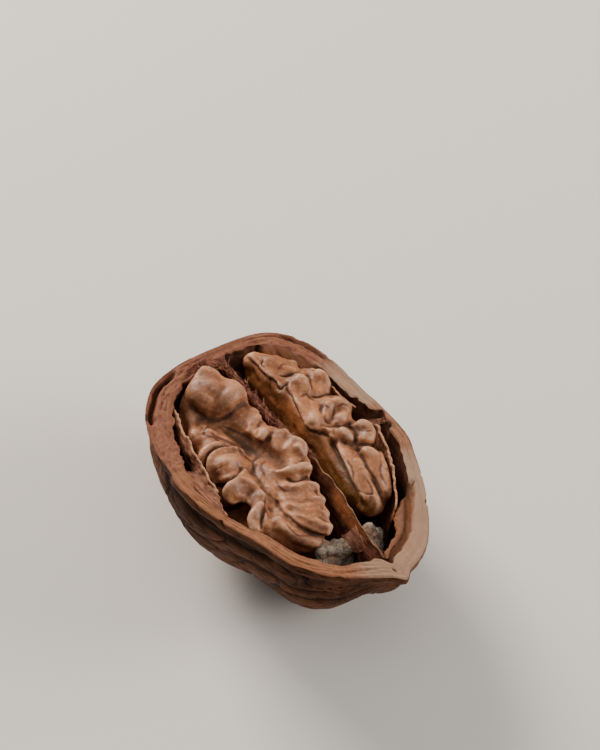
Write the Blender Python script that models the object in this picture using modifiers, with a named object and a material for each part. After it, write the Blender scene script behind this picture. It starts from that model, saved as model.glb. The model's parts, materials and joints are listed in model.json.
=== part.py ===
"""Half of a cracked walnut, lying on its back with the kernel in it.

The half is shaped in the nut's own frame: X runs from the stalk end to the
pointed tip, Z = 0 is the plane in which the two halves met, and the bowl of
the shell hangs below it. The whole half is then rolled about X, the way it
lies, and set down on the small flat that it rests on. Metres, +Z up.
"""

import math
import random

import bmesh
import bpy
import numpy as np
from mathutils import Matrix, Vector

MM = 0.001

# The lie of the half nut
ROLL_DEG = -12.0
FOOT_CUT = 0.55 * MM

# Shell: the outline of the rim, seen from above, from the tip round the far side
RIM_OUTLINE_MM = (
    (21.5, 0.0), (20.5, 1.3), (19.7, 3.2), (18.2, 5.5), (15.8, 7.7), (12.5, 10.0), (9.4, 11.8),
    (6.0, 13.5), (2.4, 14.9), (-2.9, 14.8), (-5.4, 14.5), (-8.5, 14.4), (-11.3, 14.2), (-13.8, 13.7),
    (-16.2, 12.8), (-18.4, 11.2), (-19.8, 9.0), (-20.4, 6.0), (-20.5, 2.5), (-20.4, -0.5),
    (-19.9, -4.1), (-18.1, -8.8), (-14.1, -12.4), (-9.1, -14.4), (-4.6, -15.4), (-0.7, -15.3),
    (3.7, -14.1), (8.9, -12.1), (13.9, -10.0), (17.3, -6.7), (18.6, -4.7), (19.7, -2.7), (20.6, -1.1),
)
SHELL_DEPTH = 16.0 * MM
SECTION_POWER = 2.15
TIP_POWER = 1.38
TIP_SPREAD = math.radians(18)
FLANK_POWER = 1.77
FLANK_HEADING = math.radians(-62)
FLANK_SPREAD = math.radians(36)
BELLY = 0.035
# The bottom of the bowl lies off the middle of the rim, towards the tip and the far side
DRIFT = (2.0 * MM, 0.6 * MM)
DRIFT_POWER = 1.3
WALL = 1.5 * MM
FLOOR_WALL = 1.9 * MM
RIM_BLEND = math.radians(24)
# Width of the rim's top face at headings round the nut, in degrees from the tip
RIM_WIDTHS_MM = (
    (0, 3.2), (15, 2.9), (35, 2.2), (50, 1.2), (75, 1.0), (95, 1.2), (115, 1.7),
    (140, 2.4), (165, 1.9), (180, 1.5), (200, 2.3), (218, 2.9), (236, 2.6),
    (255, 1.7), (280, 1.5), (310, 1.5), (340, 1.9),
)
KEEL_HEIGHT = 0.55 * MM
KEEL_WIDTH = 1.2 * MM
# The keel keeps its full height over this share of its width, less one, below the rim
KEEL_FULL = 1.5
# Rings of the bowl's mesh crowd towards the rim
RING_CROWDING = 1.35

# Long grooves of the shell: angle round X below the rim (degrees), depth (mm), width, waver
GROOVES = (
    (12.0, 0.50, 2.8, 1.0), (26.0, 0.42, 3.0, 2.0), (42.0, 0.60, 3.4, 3.0),
    (59.0, 0.46, 3.2, 3.6), (78.0, 0.55, 3.8, 3.2), (99.0, 0.50, 3.6, 3.4),
    (118.0, 0.60, 3.4, 3.0), (137.0, 0.44, 3.2, 3.2), (153.0, 0.55, 3.0, 2.0),
    (168.0, 0.46, 2.8, 1.0),
)
# Each groove wavers along the nut in two waves: share of its waver, turns per mm, phase step
GROOVE_WAVES = ((1.0, 0.22, 1.7), (0.4, 0.55, 1.0))
# A groove's depth varies along the nut: mean share, change, turns per mm, phase step
GROOVE_STRENGTH = (0.65, 0.35, 0.31, 2.3)
GROOVE_END = 22.0 * MM
GROOVE_FADE = 5.0 * MM
# Small rises and dips of the rim: height (mm), how many round the nut, phase
RIM_WAVES_MM = ((0.16, 3, 0.6), (0.10, 7, 1.9))
RIM_WAVE_REACH = 3.0 * MM
# Soft ribs on the inner face
INNER_RIB_HEIGHT = 0.12 * MM
INNER_RIBS = 9
INNER_RIB_BEND = 2.0
# The bowl's mesh before it is thinned: headings round it, and rings below the rim
BOWL_GRID = (192, 36)

# Gap left between neighbouring pieces; the kernel's is wider by the slack that thinning it takes
GAP = 0.4 * MM
THINNING_SLACK = 0.2 * MM

# Partition: a papery wall along the nut, between the two lobes
PARTITION_LINE_MM = (
    (-19.0, 1.9), (-14.0, 2.0), (-8.0, 2.3), (-2.0, 2.6), (3.0, 2.2),
    (8.9, 1.3), (13.0, 0.6), (18.6, -0.1),
)
PARTITION_TOP_MM = (
    (-19.0, -0.4), (-15.0, -0.9), (-8.0, -1.4), (-2.0, -1.2), (2.0, -0.6),
    (10.0, -0.3), (19.0, -0.3),
)
PARTITION_THICK = 0.7 * MM
PARTITION_ENDS_MM = (-18.2, 17.4)
PARTITION_LEAST_HEIGHT = 0.8 * MM
PARTITION_TOP_WAVE = 0.12 * MM
PARTITION_TOP_WAVES_PER_MM = 2.1
# How far the kernel may lean over the partition's top edge
KERNEL_LEAN = 1.2 * MM

# Papery linings that stand off the shell wall: top edge (x, y), and how deep they reach
LINING_THICK = 0.6 * MM
LININGS = {
    "lining_left": {
        "edge_mm": ((-14.6, -8.4), (-10.4, -9.9), (-7.4, -10.7), (-3.8, -11.4), (-0.4, -12.0)),
        "top_mm": (-0.5, -0.1, 0.1, 0.0, -0.3),
        "depth_mm": 6.0,
        "lean_mm": 1.0,
    },
    "lining_right": {
        "edge_mm": ((-0.6, 12.7), (2.6, 11.7), (6.4, 9.9), (9.4, 8.2), (11.4, 6.6)),
        "top_mm": (-0.2, 0.1, 0.0, -0.3, -0.8),
        "depth_mm": 6.5,
        "lean_mm": -0.9,
    },
}
# The kernel gives way to a lining this far past its ends and below its foot
LINING_BERTH = 1.6 * MM
LINING_BERTH_EASE = 1.0 * MM

# Kernel folds: a chain of round stations (x, y, z, radius) in mm for each fold
LEFT_FOLDS = {
    "ridge_base": (
        (-15.6, -2.0, -2.8, 2.5), (-13.0, -1.4, -2.9, 2.4), (-10.8, -1.2, -3.1, 2.2),
        (-8.4, -0.9, -3.0, 2.15), (-6.0, -0.8, -2.9, 2.2), (-3.6, -0.2, -2.8, 2.2),
        (-1.4, -0.3, -2.8, 2.2), (0.6, -1.2, -2.8, 2.2), (2.6, -1.9, -2.9, 2.2),
        (4.6, -2.6, -2.9, 2.2), (6.4, -3.2, -3.0, 2.2), (8.0, -3.5, -3.2, 1.9),
    ),
    "side_base": (
        (-11.4, -5.6, -4.4, 2.1), (-7.4, -6.4, -3.7, 2.1), (-4.4, -6.6, -3.5, 2.1),
        (-1.6, -6.8, -3.6, 2.0), (1.4, -6.5, -3.9, 1.9), (4.2, -7.2, -4.2, 1.8),
    ),
    "shelf": (
        (-13.4, -5.0, -3.4, 1.7), (-10.4, -4.2, -3.4, 1.7), (-7.6, -3.8, -3.4, 1.7),
        (-5.6, -4.6, -3.4, 1.6),
    ),
    "head_back": ((-16.6, -1.5, -1.0, 2.0), (-17.0, -3.3, -2.1, 1.9)),
    "head_low": ((-14.6, -2.7, -1.1, 2.2), (-15.5, -4.3, -2.2, 2.0)),
    "head_front": ((-14.1, 0.2, -0.8, 1.4), (-12.6, -1.2, -0.9, 1.5)),
    "head_cap": ((-12.5, 0.5, -1.2, 1.1),),
    "neck_a": ((-11.2, -0.2, -1.9, 1.2), (-10.6, -1.4, -1.8, 1.3)),
    "neck_b": ((-9.8, 0.6, -1.5, 1.0), (-8.9, -0.7, -1.7, 1.15)),
    "neck_c": ((-8.0, 0.4, -1.6, 0.9), (-7.4, -0.8, -1.9, 1.1)),
    "knob_a": ((-6.1, -0.9, -0.9, 1.15), (-5.6, 0.3, -1.0, 1.15)),
    "knob_b": ((-4.7, 0.9, -1.0, 1.05), (-3.6, 0.0, -1.4, 1.2)),
    "knob_c": ((-3.2, 1.2, -1.1, 1.0), (-2.1, 1.5, -0.9, 1.3), (-1.8, 0.3, -1.6, 1.4)),
    "knob_d": ((0.3, -0.9, -1.2, 1.3), (0.8, 0.5, -1.1, 1.05)),
    "finger_a": ((2.3, -3.0, -1.9, 1.1), (3.2, -1.5, -1.35, 1.0), (3.7, -0.3, -1.3, 0.8)),
    "finger_b": ((3.8, -3.9, -1.9, 1.1), (4.7, -2.3, -1.35, 1.0), (5.5, -0.9, -1.3, 0.85)),
    "finger_c": ((5.1, -4.4, -1.9, 1.1), (6.6, -3.1, -1.35, 1.0), (7.5, -1.7, -1.4, 0.85)),
    "finger_d": ((6.7, -4.6, -1.8, 1.1), (8.3, -3.7, -1.5, 1.0), (9.3, -2.6, -1.6, 0.95)),
    "belly": ((5.6, -6.5, -3.4, 2.1), (7.4, -5.6, -3.3, 2.1), (8.8, -4.4, -3.3, 1.6)),
    "side_a": ((-9.8, -5.9, -2.5, 1.2), (-10.6, -6.8, -3.2, 1.4)),
    "side_b": ((-7.8, -6.7, -2.3, 1.1), (-7.0, -8.0, -2.6, 1.1)),
    "side_c": ((-4.3, -7.3, -1.95, 1.85), (-4.4, -5.8, -2.4, 1.6)),
    "side_d": ((-0.8, -8.6, -2.1, 1.3), (-1.2, -6.6, -2.0, 1.2)),
    "side_e": ((1.4, -6.5, -2.5, 1.15), (2.8, -7.4, -2.6, 1.0)),
    "side_f": ((3.4, -8.3, -2.4, 1.0), (4.9, -8.8, -2.8, 1.15), (5.0, -7.4, -3.0, 1.3)),
    "tongue": ((-4.4, -2.5, -2.7, 1.2), (-1.9, -3.1, -2.6, 1.25), (1.0, -3.8, -2.5, 1.3)),
    "tongue_side": ((-1.6, -5.0, -2.9, 1.2), (1.6, -5.4, -2.9, 1.2)),
    "pit_floor": ((-0.6, -7.6, -3.5, 1.8), (1.6, -5.2, -3.9, 1.7), (4.2, -5.6, -3.8, 1.8)),
}
RIGHT_FOLDS = {
    "body": (
        (-15.2, 7.8, -3.0, 3.1), (-12.0, 8.4, -3.0, 3.2), (-8.8, 8.6, -3.1, 3.2),
        (-5.4, 8.3, -3.2, 3.1), (-2.0, 8.0, -3.4, 2.9), (1.8, 7.4, -3.7, 2.7),
        (4.4, 6.8, -3.9, 2.4), (6.2, 6.2, -3.9, 2.1),
    ),
    "wall": (
        (-15.6, 6.4, -2.6, 2.2), (-12.0, 6.9, -2.7, 2.3), (-8.5, 7.0, -2.7, 2.3),
        (-4.8, 6.6, -2.8, 2.3), (-1.6, 7.0, -3.2, 2.3), (2.0, 6.6, -3.4, 2.3), (5.0, 5.8, -3.7, 2.1),
    ),
    "corner": ((-17.0, 5.7, -1.0, 1.4), (-17.0, 7.0, -2.0, 1.6)),
    "crest": ((-15.8, 6.2, -1.1, 1.6), (-13.4, 6.3, -1.1, 1.6)),
    "crest_front": ((-11.2, 6.2, -1.2, 1.4), (-9.6, 6.6, -1.3, 1.3)),
    "far_knob": ((-14.1, 9.6, -1.4, 1.2), (-15.6, 9.0, -1.8, 1.5)),
    "knob_a": ((-10.9, 8.3, -0.9, 1.5),),
    "knob_b": ((-10.6, 11.6, -1.4, 1.45), (-12.2, 11.6, -1.6, 1.2)),
    "knob_c": ((-7.8, 6.3, -0.95, 1.3), (-6.6, 6.2, -1.2, 1.3)),
    "knob_d": ((-6.0, 9.4, -0.9, 1.35), (-7.0, 9.0, -1.3, 1.3)),
    "knob_e": ((-5.3, 11.1, -1.2, 1.3), (-6.4, 11.4, -1.8, 1.4)),
    "saddle": ((-4.9, 6.0, -0.95, 1.15), (-4.5, 7.8, -1.3, 1.2)),
    "pip": ((-3.3, 8.8, -0.7, 0.85),),
    "neck": ((-2.5, 7.4, -1.2, 1.1), (-3.4, 10.0, -1.8, 1.3)),
    "knob_f": ((-0.9, 8.1, -0.7, 1.05),),
    "knob_g": ((-0.8, 10.9, -1.3, 1.5), (0.4, 10.4, -1.6, 1.4)),
    "inner_ridge": ((1.4, 6.6, -1.25, 1.05), (4.6, 5.7, -1.6, 1.15), (7.4, 5.2, -2.1, 1.2)),
    "mid_knob": ((2.7, 8.8, -1.25, 1.25), (5.0, 7.4, -1.7, 1.2)),
    "outer_ridge": ((3.4, 10.0, -1.7, 1.25), (6.0, 8.8, -2.0, 1.3), (7.5, 7.6, -2.3, 1.3)),
    "end": ((8.4, 5.5, -2.5, 1.35), (7.6, 6.2, -3.3, 1.8)),
}
# The smooth wall that the right lobe turns to the partition: (x, y) of its line
RIGHT_WALL_MM = (
    (-18.0, 4.4), (-16.0, 4.3), (-11.0, 4.8), (-8.0, 4.9), (-4.2, 4.5),
    (-1.8, 4.9), (3.4, 4.3), (8.4, 3.4), (12.0, 2.6),
)
# Cores that the folds stand out of: centre (mm) and half lengths (mm)
LEFT_CORES = (((-3.6, -4.6, -8.0), (12.8, 6.6, 5.0)), ((-12.0, -3.2, -5.8), (6.0, 4.6, 4.2)))
RIGHT_CORES = (((-5.4, 7.6, -7.0), (11.4, 5.4, 5.0)),)
UNDER_FOLDS = 11
UNDER_FOLD_RADIUS = 2.1 * MM
KERNEL_VOXEL = 0.35 * MM
KERNEL_SOFTENING = 5

# Spongy packing tissue left against the partition, near the tip: chains as above
PACKING_CHAINS = {
    "packing_left": (
        (12.1, -4.6, -4.8, 1.2), (12.1, -3.0, -4.6, 1.3), (11.4, -1.4, -4.3, 1.3),
        (11.2, -0.2, -4.4, 1.1), (12.2, -1.6, -6.2, 1.7), (12.1, -1.7, -7.8, 1.8),
        (11.8, -1.6, -9.7, 1.8),
    ),
    "packing_right": (
        (13.4, 2.8, -5.2, 0.9), (12.3, 3.4, -4.7, 1.1), (11.1, 4.2, -4.5, 1.1),
        (11.4, 3.9, -6.6, 1.5), (10.8, 4.0, -8.2, 1.7), (10.4, 4.0, -9.6, 1.7),
    ),
}

TRIANGLES = {"shell_half": 6400, "kernel_lobe_left": 2700, "kernel_lobe_right": 2300, "packing": 420}

COLOURS = {
    "shell": ((0.33, 0.20, 0.115, 1.0), 0.72),
    "kernel": ((0.40, 0.235, 0.115, 1.0), 0.45),
    "partition": ((0.155, 0.075, 0.04, 1.0), 0.80),
    "lining": ((0.27, 0.145, 0.08, 1.0), 0.75),
    "packing": ((0.42, 0.34, 0.26, 1.0), 0.90),
}


def smoothstep(t):
    """0 to 1, easing at both ends."""
    t = np.clip(t, 0.0, 1.0)
    return t * t * (3.0 - 2.0 * t)


def spline_through(points, per_span, closed):
    """Catmull-Rom points through the given ones."""
    pts = np.array(points, float)
    count = len(pts)
    spans = count if closed else count - 1
    made = []
    for i in range(spans):
        if closed:
            a, b, c, d = (pts[(i + k) % count] for k in (-1, 0, 1, 2))
        else:
            a, b, c, d = (pts[min(max(i + k, 0), count - 1)] for k in (-1, 0, 1, 2))
        for t in np.arange(per_span) / per_span:
            made.append(0.5 * (2 * b + (c - a) * t + (2 * a - 5 * b + 4 * c - d) * t**2
                               + (3 * b - a - 3 * c + d) * t**3))
    if not closed:
        made.append(pts[-1])
    return np.array(made)


RIM = spline_through(RIM_OUTLINE_MM, 12, closed=True) * MM
RIM_HEADINGS = np.arctan2(RIM[:, 1], RIM[:, 0])
RIM_RADII = np.hypot(RIM[:, 0], RIM[:, 1])
RIM_ORDER = np.argsort(RIM_HEADINGS)


def rim_radius(phi):
    """Distance from the nut's axis to the bowl's edge at heading phi, inside the keel."""
    radius = np.interp(phi, RIM_HEADINGS[RIM_ORDER], RIM_RADII[RIM_ORDER], period=2 * math.pi)
    return radius - KEEL_HEIGHT


def rim_width(phi):
    """Width of the rim's top face at heading phi."""
    headings = np.radians([h for h, _ in RIM_WIDTHS_MM])
    widths = np.array([w for _, w in RIM_WIDTHS_MM]) * MM
    return np.interp(phi, headings, widths, period=2 * math.pi)


def section_power(phi):
    """Fullness of the bowl's profile: full all round, leaner at one flank and under the tip."""
    near_tip = np.exp(-((np.angle(np.exp(1j * phi)) / TIP_SPREAD) ** 2))
    near_flank = np.exp(-((np.angle(np.exp(1j * (phi - FLANK_HEADING))) / FLANK_SPREAD) ** 2))
    power = SECTION_POWER + (FLANK_POWER - SECTION_POWER) * near_flank
    return power + (TIP_POWER - power) * near_tip


def wall_thickness(phi, tau):
    """Wall at heading phi and at the angle tau below the rim."""
    return rim_width(phi) + (WALL - rim_width(phi)) * smoothstep(tau / RIM_BLEND)


def drift(down):
    """How far the bowl's section has moved at a share down of its depth, along X and Y."""
    share = np.clip(down, 0.0, 1.0) ** DRIFT_POWER
    return DRIFT[0] * share, DRIFT[1] * share


def bowl(phi, tau, inset, depth):
    """Points of the bowl, drawn in by inset and reaching depth below the rim."""
    power = section_power(phi)
    across = np.cos(tau) ** (2 / power) * (1 + BELLY * np.sin(2 * tau))
    down = np.sin(tau) ** (2 / power)
    radius = (rim_radius(phi) - inset) * across
    move_x, move_y = drift(down)
    return np.stack([radius * np.cos(phi) + move_x, radius * np.sin(phi) + move_y, -depth * down], axis=-1)


def kept_inside(points, gap):
    """Points drawn in, where needed, so that they stay that gap inside the shell's inner face."""
    depth = SHELL_DEPTH - FLOOR_WALL - gap
    down = np.clip(-points[:, 2] / depth, 0.0, None)
    move_x, move_y = drift(down)
    x, y = points[:, 0] - move_x, points[:, 1] - move_y
    phi = np.arctan2(y, x)
    power = section_power(phi)
    tau = np.arcsin(np.clip(down, 0.0, 1.0) ** (power / 2))
    reach = rim_radius(phi) - wall_thickness(phi, tau) - gap
    share = ((np.hypot(x, y) / reach) ** power + down**power) ** (1 / power)
    scale = np.where(share > 1.0, 1.0 / share, 1.0)
    z = np.where(points[:, 2] < 0, points[:, 2] * scale, points[:, 2])
    move_x, move_y = drift(-z / depth)
    return np.stack([x * scale + move_x, y * scale + move_y, z], axis=-1)


def floor_height(x, y, gap):
    """Height of the shell's inner face under (x, y), plus the gap."""
    depth = SHELL_DEPTH - FLOOR_WALL - gap
    down = np.ones_like(x)
    for _ in range(12):
        move_x, move_y = drift(down)
        phi = np.arctan2(y - move_y, x - move_x)
        power = section_power(phi)
        out = np.hypot(x - move_x, y - move_y) / (rim_radius(phi) - WALL - gap)
        down = 0.5 * down + 0.5 * (1 - np.clip(out, 0.0, 1.0) ** power) ** (1 / power)
    return -depth * down


def partition_y(x):
    """The partition's middle line."""
    line = spline_through(PARTITION_LINE_MM, 6, closed=False) * MM
    return np.interp(x, line[:, 0], line[:, 1])


def partition_top(x):
    """Height of the partition's top edge."""
    tops = spline_through(PARTITION_TOP_MM, 6, closed=False) * MM
    return np.interp(x, tops[:, 0], tops[:, 1])


def lining_y(name, x, z):
    """Where a lining's middle lies across the nut, kept off the shell."""
    plan = LININGS[name]
    edge = spline_through(plan["edge_mm"], 6, closed=False) * MM
    down = np.clip(-z / (plan["depth_mm"] * MM), 0, 1)
    y = np.interp(x, edge[:, 0], edge[:, 1]) + plan["lean_mm"] * MM * down**2
    return kept_inside(np.stack([x, y, z], axis=-1), GAP + LINING_THICK)[:, 1]


def mesh_points(mesh):
    """A mesh's points as rows."""
    rows = np.empty(len(mesh.vertices) * 3)
    mesh.vertices.foreach_get("co", rows)
    return rows.reshape(-1, 3)


def set_mesh_points(mesh, points):
    """Moves a mesh's points."""
    mesh.vertices.foreach_set("co", points.ravel())
    mesh.update()


def new_object(name, mesh, collection):
    """An object of that mesh, in that collection."""
    made = bpy.data.objects.new(name, mesh)
    collection.objects.link(made)
    return made


def apply_modifiers(obj):
    """Makes the evaluated mesh the object's own."""
    graph = bpy.context.evaluated_depsgraph_get()
    done = bpy.data.meshes.new_from_object(obj.evaluated_get(graph))
    obj.modifiers.clear()
    old = obj.data
    obj.data = done
    bpy.data.meshes.remove(old)


def thin_to(obj, triangles):
    """Collapses a mesh to about that many triangles."""
    obj.data.calc_loop_triangles()
    count = len(obj.data.loop_triangles)
    if count > triangles:
        thin = obj.modifiers.new("thin", "DECIMATE")
        thin.ratio = triangles / count
        thin.use_collapse_triangulate = True
        apply_modifiers(obj)


def groove_depths(points):
    """How deep the shell's long grooves lie at each point, in metres."""
    around = np.degrees(np.arctan2(-points[:, 2], points[:, 1]))
    along = points[:, 0] / MM
    mean, change, turns, step = GROOVE_STRENGTH
    depths = np.zeros(len(points))
    for k, (angle, depth, width, waver) in enumerate(GROOVES):
        line = angle + sum(
            waver * share * np.sin(pace * along + phase * k) for share, pace, phase in GROOVE_WAVES
        )
        strength = mean + change * np.sin(turns * along + step * k)
        depths += depth * MM * strength * np.exp(-(((around - line) / width) ** 2))
    return depths * smoothstep((GROOVE_END - np.abs(points[:, 0])) / GROOVE_FADE)


def rim_wave(phi):
    """The rim's small rises and dips."""
    return sum(height * MM * np.sin(count * phi + phase) for height, count, phase in RIM_WAVES_MM)


def shell_bowl_mesh(headings, rings):
    """The open outer face of the bowl, from the lower half of a sphere."""
    made = bmesh.new()
    bmesh.ops.create_uvsphere(made, u_segments=headings, v_segments=2 * rings, radius=1.0)
    upper = [v for v in made.verts if v.co.z > 1e-4]
    bmesh.ops.delete(made, geom=upper, context="VERTS")
    mesh = bpy.data.meshes.new("shell_half")
    made.to_mesh(mesh)
    made.free()
    return mesh


def make_shell(collection):
    """The woody half shell: a bowl with a keeled rim, long grooves and a drawn-out tip."""
    shell = new_object("shell_half", shell_bowl_mesh(*BOWL_GRID), collection)
    sphere = mesh_points(shell.data)
    phi = np.arctan2(sphere[:, 1], sphere[:, 0])
    tau = np.arcsin(np.clip(-sphere[:, 2], 0.0, 1.0)) / (math.pi / 2)
    tau = tau**RING_CROWDING * math.pi / 2
    outer = bowl(phi, tau, 0.0, SHELL_DEPTH)
    set_mesh_points(shell.data, outer)
    normals = np.array([v.normal for v in shell.data.vertices])
    keel = KEEL_HEIGHT * smoothstep(KEEL_FULL + outer[:, 2] / KEEL_WIDTH)
    outer += normals * (keel - groove_depths(outer))[:, None]
    set_mesh_points(shell.data, outer)

    wall = shell.modifiers.new("wall", "SOLIDIFY")
    wall.thickness = WALL
    wall.offset = -1.0
    apply_modifiers(shell)
    points = mesh_points(shell.data)
    count = len(outer)
    ribs = np.sin(INNER_RIBS * phi + INNER_RIB_BEND * np.sin(3 * tau)) * np.sin(2 * tau)
    thickness = wall_thickness(phi, tau) + INNER_RIB_HEIGHT * ribs
    points[count:] = bowl(phi, tau, thickness, SHELL_DEPTH - FLOOR_WALL)
    heading = np.arctan2(points[:, 1], points[:, 0])
    points[:, 2] += rim_wave(heading) * smoothstep(1 + points[:, 2] / RIM_WAVE_REACH)
    set_mesh_points(shell.data, points)
    thin_to(shell, TRIANGLES["shell_half"])
    return shell


def make_partition(collection):
    """The papery wall between the lobes, from the shell's floor up to its thin top edge."""
    made = bmesh.new()
    bmesh.ops.create_grid(made, x_segments=30, y_segments=6, size=1.0)
    mesh = bpy.data.meshes.new("partition")
    made.to_mesh(mesh)
    made.free()
    grid = mesh_points(mesh)
    start, end = (e * MM for e in PARTITION_ENDS_MM)
    x = start + (grid[:, 0] + 1) / 2 * (end - start)
    y = partition_y(x)
    top = partition_top(x) + PARTITION_TOP_WAVE * np.sin(x / MM * PARTITION_TOP_WAVES_PER_MM)
    bottom = np.minimum(floor_height(x, y, GAP), top - PARTITION_LEAST_HEIGHT)
    up = (grid[:, 1] + 1) / 2
    set_mesh_points(mesh, np.stack([x, y, bottom + (top - bottom) * up], axis=-1))
    partition = new_object("partition", mesh, collection)
    sheet = partition.modifiers.new("sheet", "SOLIDIFY")
    sheet.thickness = PARTITION_THICK
    sheet.offset = 0.0
    apply_modifiers(partition)
    set_mesh_points(partition.data, kept_inside(mesh_points(partition.data), GAP))
    return partition


def make_lining(name, collection):
    """A papery sheet standing a little off the shell wall, its foot leaning to the wall."""
    plan = LININGS[name]
    made = bmesh.new()
    bmesh.ops.create_grid(made, x_segments=14, y_segments=4, size=1.0)
    mesh = bpy.data.meshes.new(name)
    made.to_mesh(mesh)
    made.free()
    grid = mesh_points(mesh)
    edge = spline_through(plan["edge_mm"], 6, closed=False) * MM
    heights = spline_through([(h, 0.0) for h in plan["top_mm"]], 6, closed=False)[:, 0] * MM
    along = (grid[:, 0] + 1) / 2 * (len(edge) - 1)
    steps = np.arange(len(edge))
    x, y = np.interp(along, steps, edge[:, 0]), np.interp(along, steps, edge[:, 1])
    top = np.interp(along, steps, heights)
    down = 1 - (grid[:, 1] + 1) / 2
    points = np.stack([x, y + plan["lean_mm"] * MM * down**2, top - plan["depth_mm"] * MM * down], axis=-1)
    lining = new_object(name, mesh, collection)
    set_mesh_points(mesh, points)
    sheet = lining.modifiers.new("sheet", "SOLIDIFY")
    sheet.thickness = LINING_THICK
    sheet.offset = 0.0
    apply_modifiers(lining)
    set_mesh_points(lining.data, kept_inside(mesh_points(lining.data), GAP))
    return lining


def add_ball(made, centre, radii, turns=2):
    """A ball of those half lengths."""
    matrix = Matrix.Translation(centre) @ Matrix.Diagonal((*radii, 1.0))
    bmesh.ops.create_icosphere(made, subdivisions=turns, radius=1.0, matrix=matrix)


def add_chain(made, stations_mm):
    """Balls along a fold, close enough to make one sausage of it."""
    stations = np.array(stations_mm) * MM
    add_ball(made, stations[0][:3], [stations[0][3]] * 3)
    for a, b in zip(stations[:-1], stations[1:]):
        steps = max(1, math.ceil(np.linalg.norm(b[:3] - a[:3]) / (0.45 * min(a[3], b[3]))))
        for k in range(1, steps + 1):
            station = a + (b - a) * k / steps
            add_ball(made, station[:3], [station[3]] * 3)


def add_under_folds(made, core, seed):
    """Folds on the side of a lobe that faces the shell, where the halves hide them."""
    draw = random.Random(seed)
    centre, half = (np.array(v) * MM for v in core)
    for k in range(UNDER_FOLDS):
        for row, lean in enumerate((-0.9, -0.3, 0.3, 0.9)):
            along = -0.85 + 1.7 * (k + 0.5 * (row % 2)) / (UNDER_FOLDS - 0.5) + draw.uniform(-0.04, 0.04)
            ring = math.sqrt(max(0.0, 1 - along**2))
            angle = lean + draw.uniform(-0.12, 0.12)
            spot = centre + half * np.array([along, ring * math.sin(angle), -ring * math.cos(angle)])
            add_ball(made, spot, [UNDER_FOLD_RADIUS * draw.uniform(0.8, 1.15)] * 3)


def kernel_clear(points, side):
    """Kernel points kept off the shell, the partition and the lining on that side."""
    points = kept_inside(points, GAP + THINNING_SLACK)
    x, z = points[:, 0], points[:, 2]
    over_top = np.clip(z - partition_top(x) - GAP, 0.0, KERNEL_LEAN)
    middle = partition_y(x) + side * (PARTITION_THICK / 2 + GAP - over_top)
    points[:, 1] = side * np.maximum(side * points[:, 1], side * middle)
    if side > 0:
        wall = spline_through(RIGHT_WALL_MM, 6, closed=False) * MM
        points[:, 1] = np.maximum(points[:, 1], np.interp(x, wall[:, 0], wall[:, 1]))
    name = "lining_right" if side > 0 else "lining_left"
    plan = LININGS[name]
    limit = side * lining_y(name, x, z) - LINING_THICK / 2 - GAP - THINNING_SLACK
    first, last = (plan["edge_mm"][k][0] * MM for k in (0, -1))
    foot = -plan["depth_mm"] * MM
    beside = smoothstep((x - first + LINING_BERTH) / LINING_BERTH_EASE)
    beside *= smoothstep((last + LINING_BERTH - x) / LINING_BERTH_EASE)
    beside *= smoothstep((z - foot + LINING_BERTH) / LINING_BERTH_EASE)
    over = np.clip(side * points[:, 1] - limit, 0, None)
    points[:, 1] -= side * over * beside
    return points


def make_lobe(name, folds, cores, side, seed, collection):
    """One lobe of the kernel: a core with folds standing out of it, all one body."""
    made = bmesh.new()
    for centre, half in cores:
        add_ball(made, np.array(centre) * MM, np.array(half) * MM, turns=4)
    for stations in folds.values():
        add_chain(made, stations)
    add_under_folds(made, cores[0], seed)
    mesh = bpy.data.meshes.new(name)
    made.to_mesh(mesh)
    made.free()
    lobe = new_object(name, mesh, collection)
    skin = lobe.modifiers.new("skin", "REMESH")
    skin.mode = "VOXEL"
    skin.voxel_size = KERNEL_VOXEL
    soften = lobe.modifiers.new("soften", "SMOOTH")
    soften.factor = 0.5
    soften.iterations = KERNEL_SOFTENING
    apply_modifiers(lobe)
    set_mesh_points(lobe.data, kernel_clear(mesh_points(lobe.data), side))
    thin_to(lobe, TRIANGLES[name])
    set_mesh_points(lobe.data, kernel_clear(mesh_points(lobe.data), side))
    return lobe


def make_packing(name, stations, side, collection):
    """A lump of spongy tissue against the partition, down to the shell's floor."""
    made = bmesh.new()
    add_chain(made, stations)
    mesh = bpy.data.meshes.new(name)
    made.to_mesh(mesh)
    made.free()
    lump = new_object(name, mesh, collection)
    skin = lump.modifiers.new("skin", "REMESH")
    skin.mode = "VOXEL"
    skin.voxel_size = KERNEL_VOXEL
    apply_modifiers(lump)
    set_mesh_points(lump.data, kernel_clear(mesh_points(lump.data), side))
    thin_to(lump, TRIANGLES["packing"])
    return lump


def material(name):
    """A plain finish of that colour and roughness."""
    colour, roughness = COLOURS[name]
    made = bpy.data.materials.new(name)
    made.use_nodes = True
    shader = made.node_tree.nodes["Principled BSDF"]
    shader.inputs["Base Color"].default_value = colour
    shader.inputs["Roughness"].default_value = roughness
    shader.inputs["Metallic"].default_value = 0.0
    made.diffuse_color = colour
    return made


def cut_foot(shell, down):
    """Cuts the flat that the nut rests on, square to down in the nut's frame; gives its distance."""
    reach = max(down.dot(v.co) for v in shell.data.vertices) - FOOT_CUT
    made = bmesh.new()
    made.from_mesh(shell.data)
    cut = bmesh.ops.bisect_plane(
        made, geom=made.verts[:] + made.edges[:] + made.faces[:], dist=1e-6,
        plane_co=down * reach, plane_no=down, clear_outer=True,
    )
    edges = [e for e in cut["geom_cut"] if isinstance(e, bmesh.types.BMEdge)]
    bmesh.ops.contextual_create(made, geom=edges)
    bmesh.ops.recalc_face_normals(made, faces=made.faces[:])
    made.to_mesh(shell.data)
    made.free()
    return reach


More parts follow.
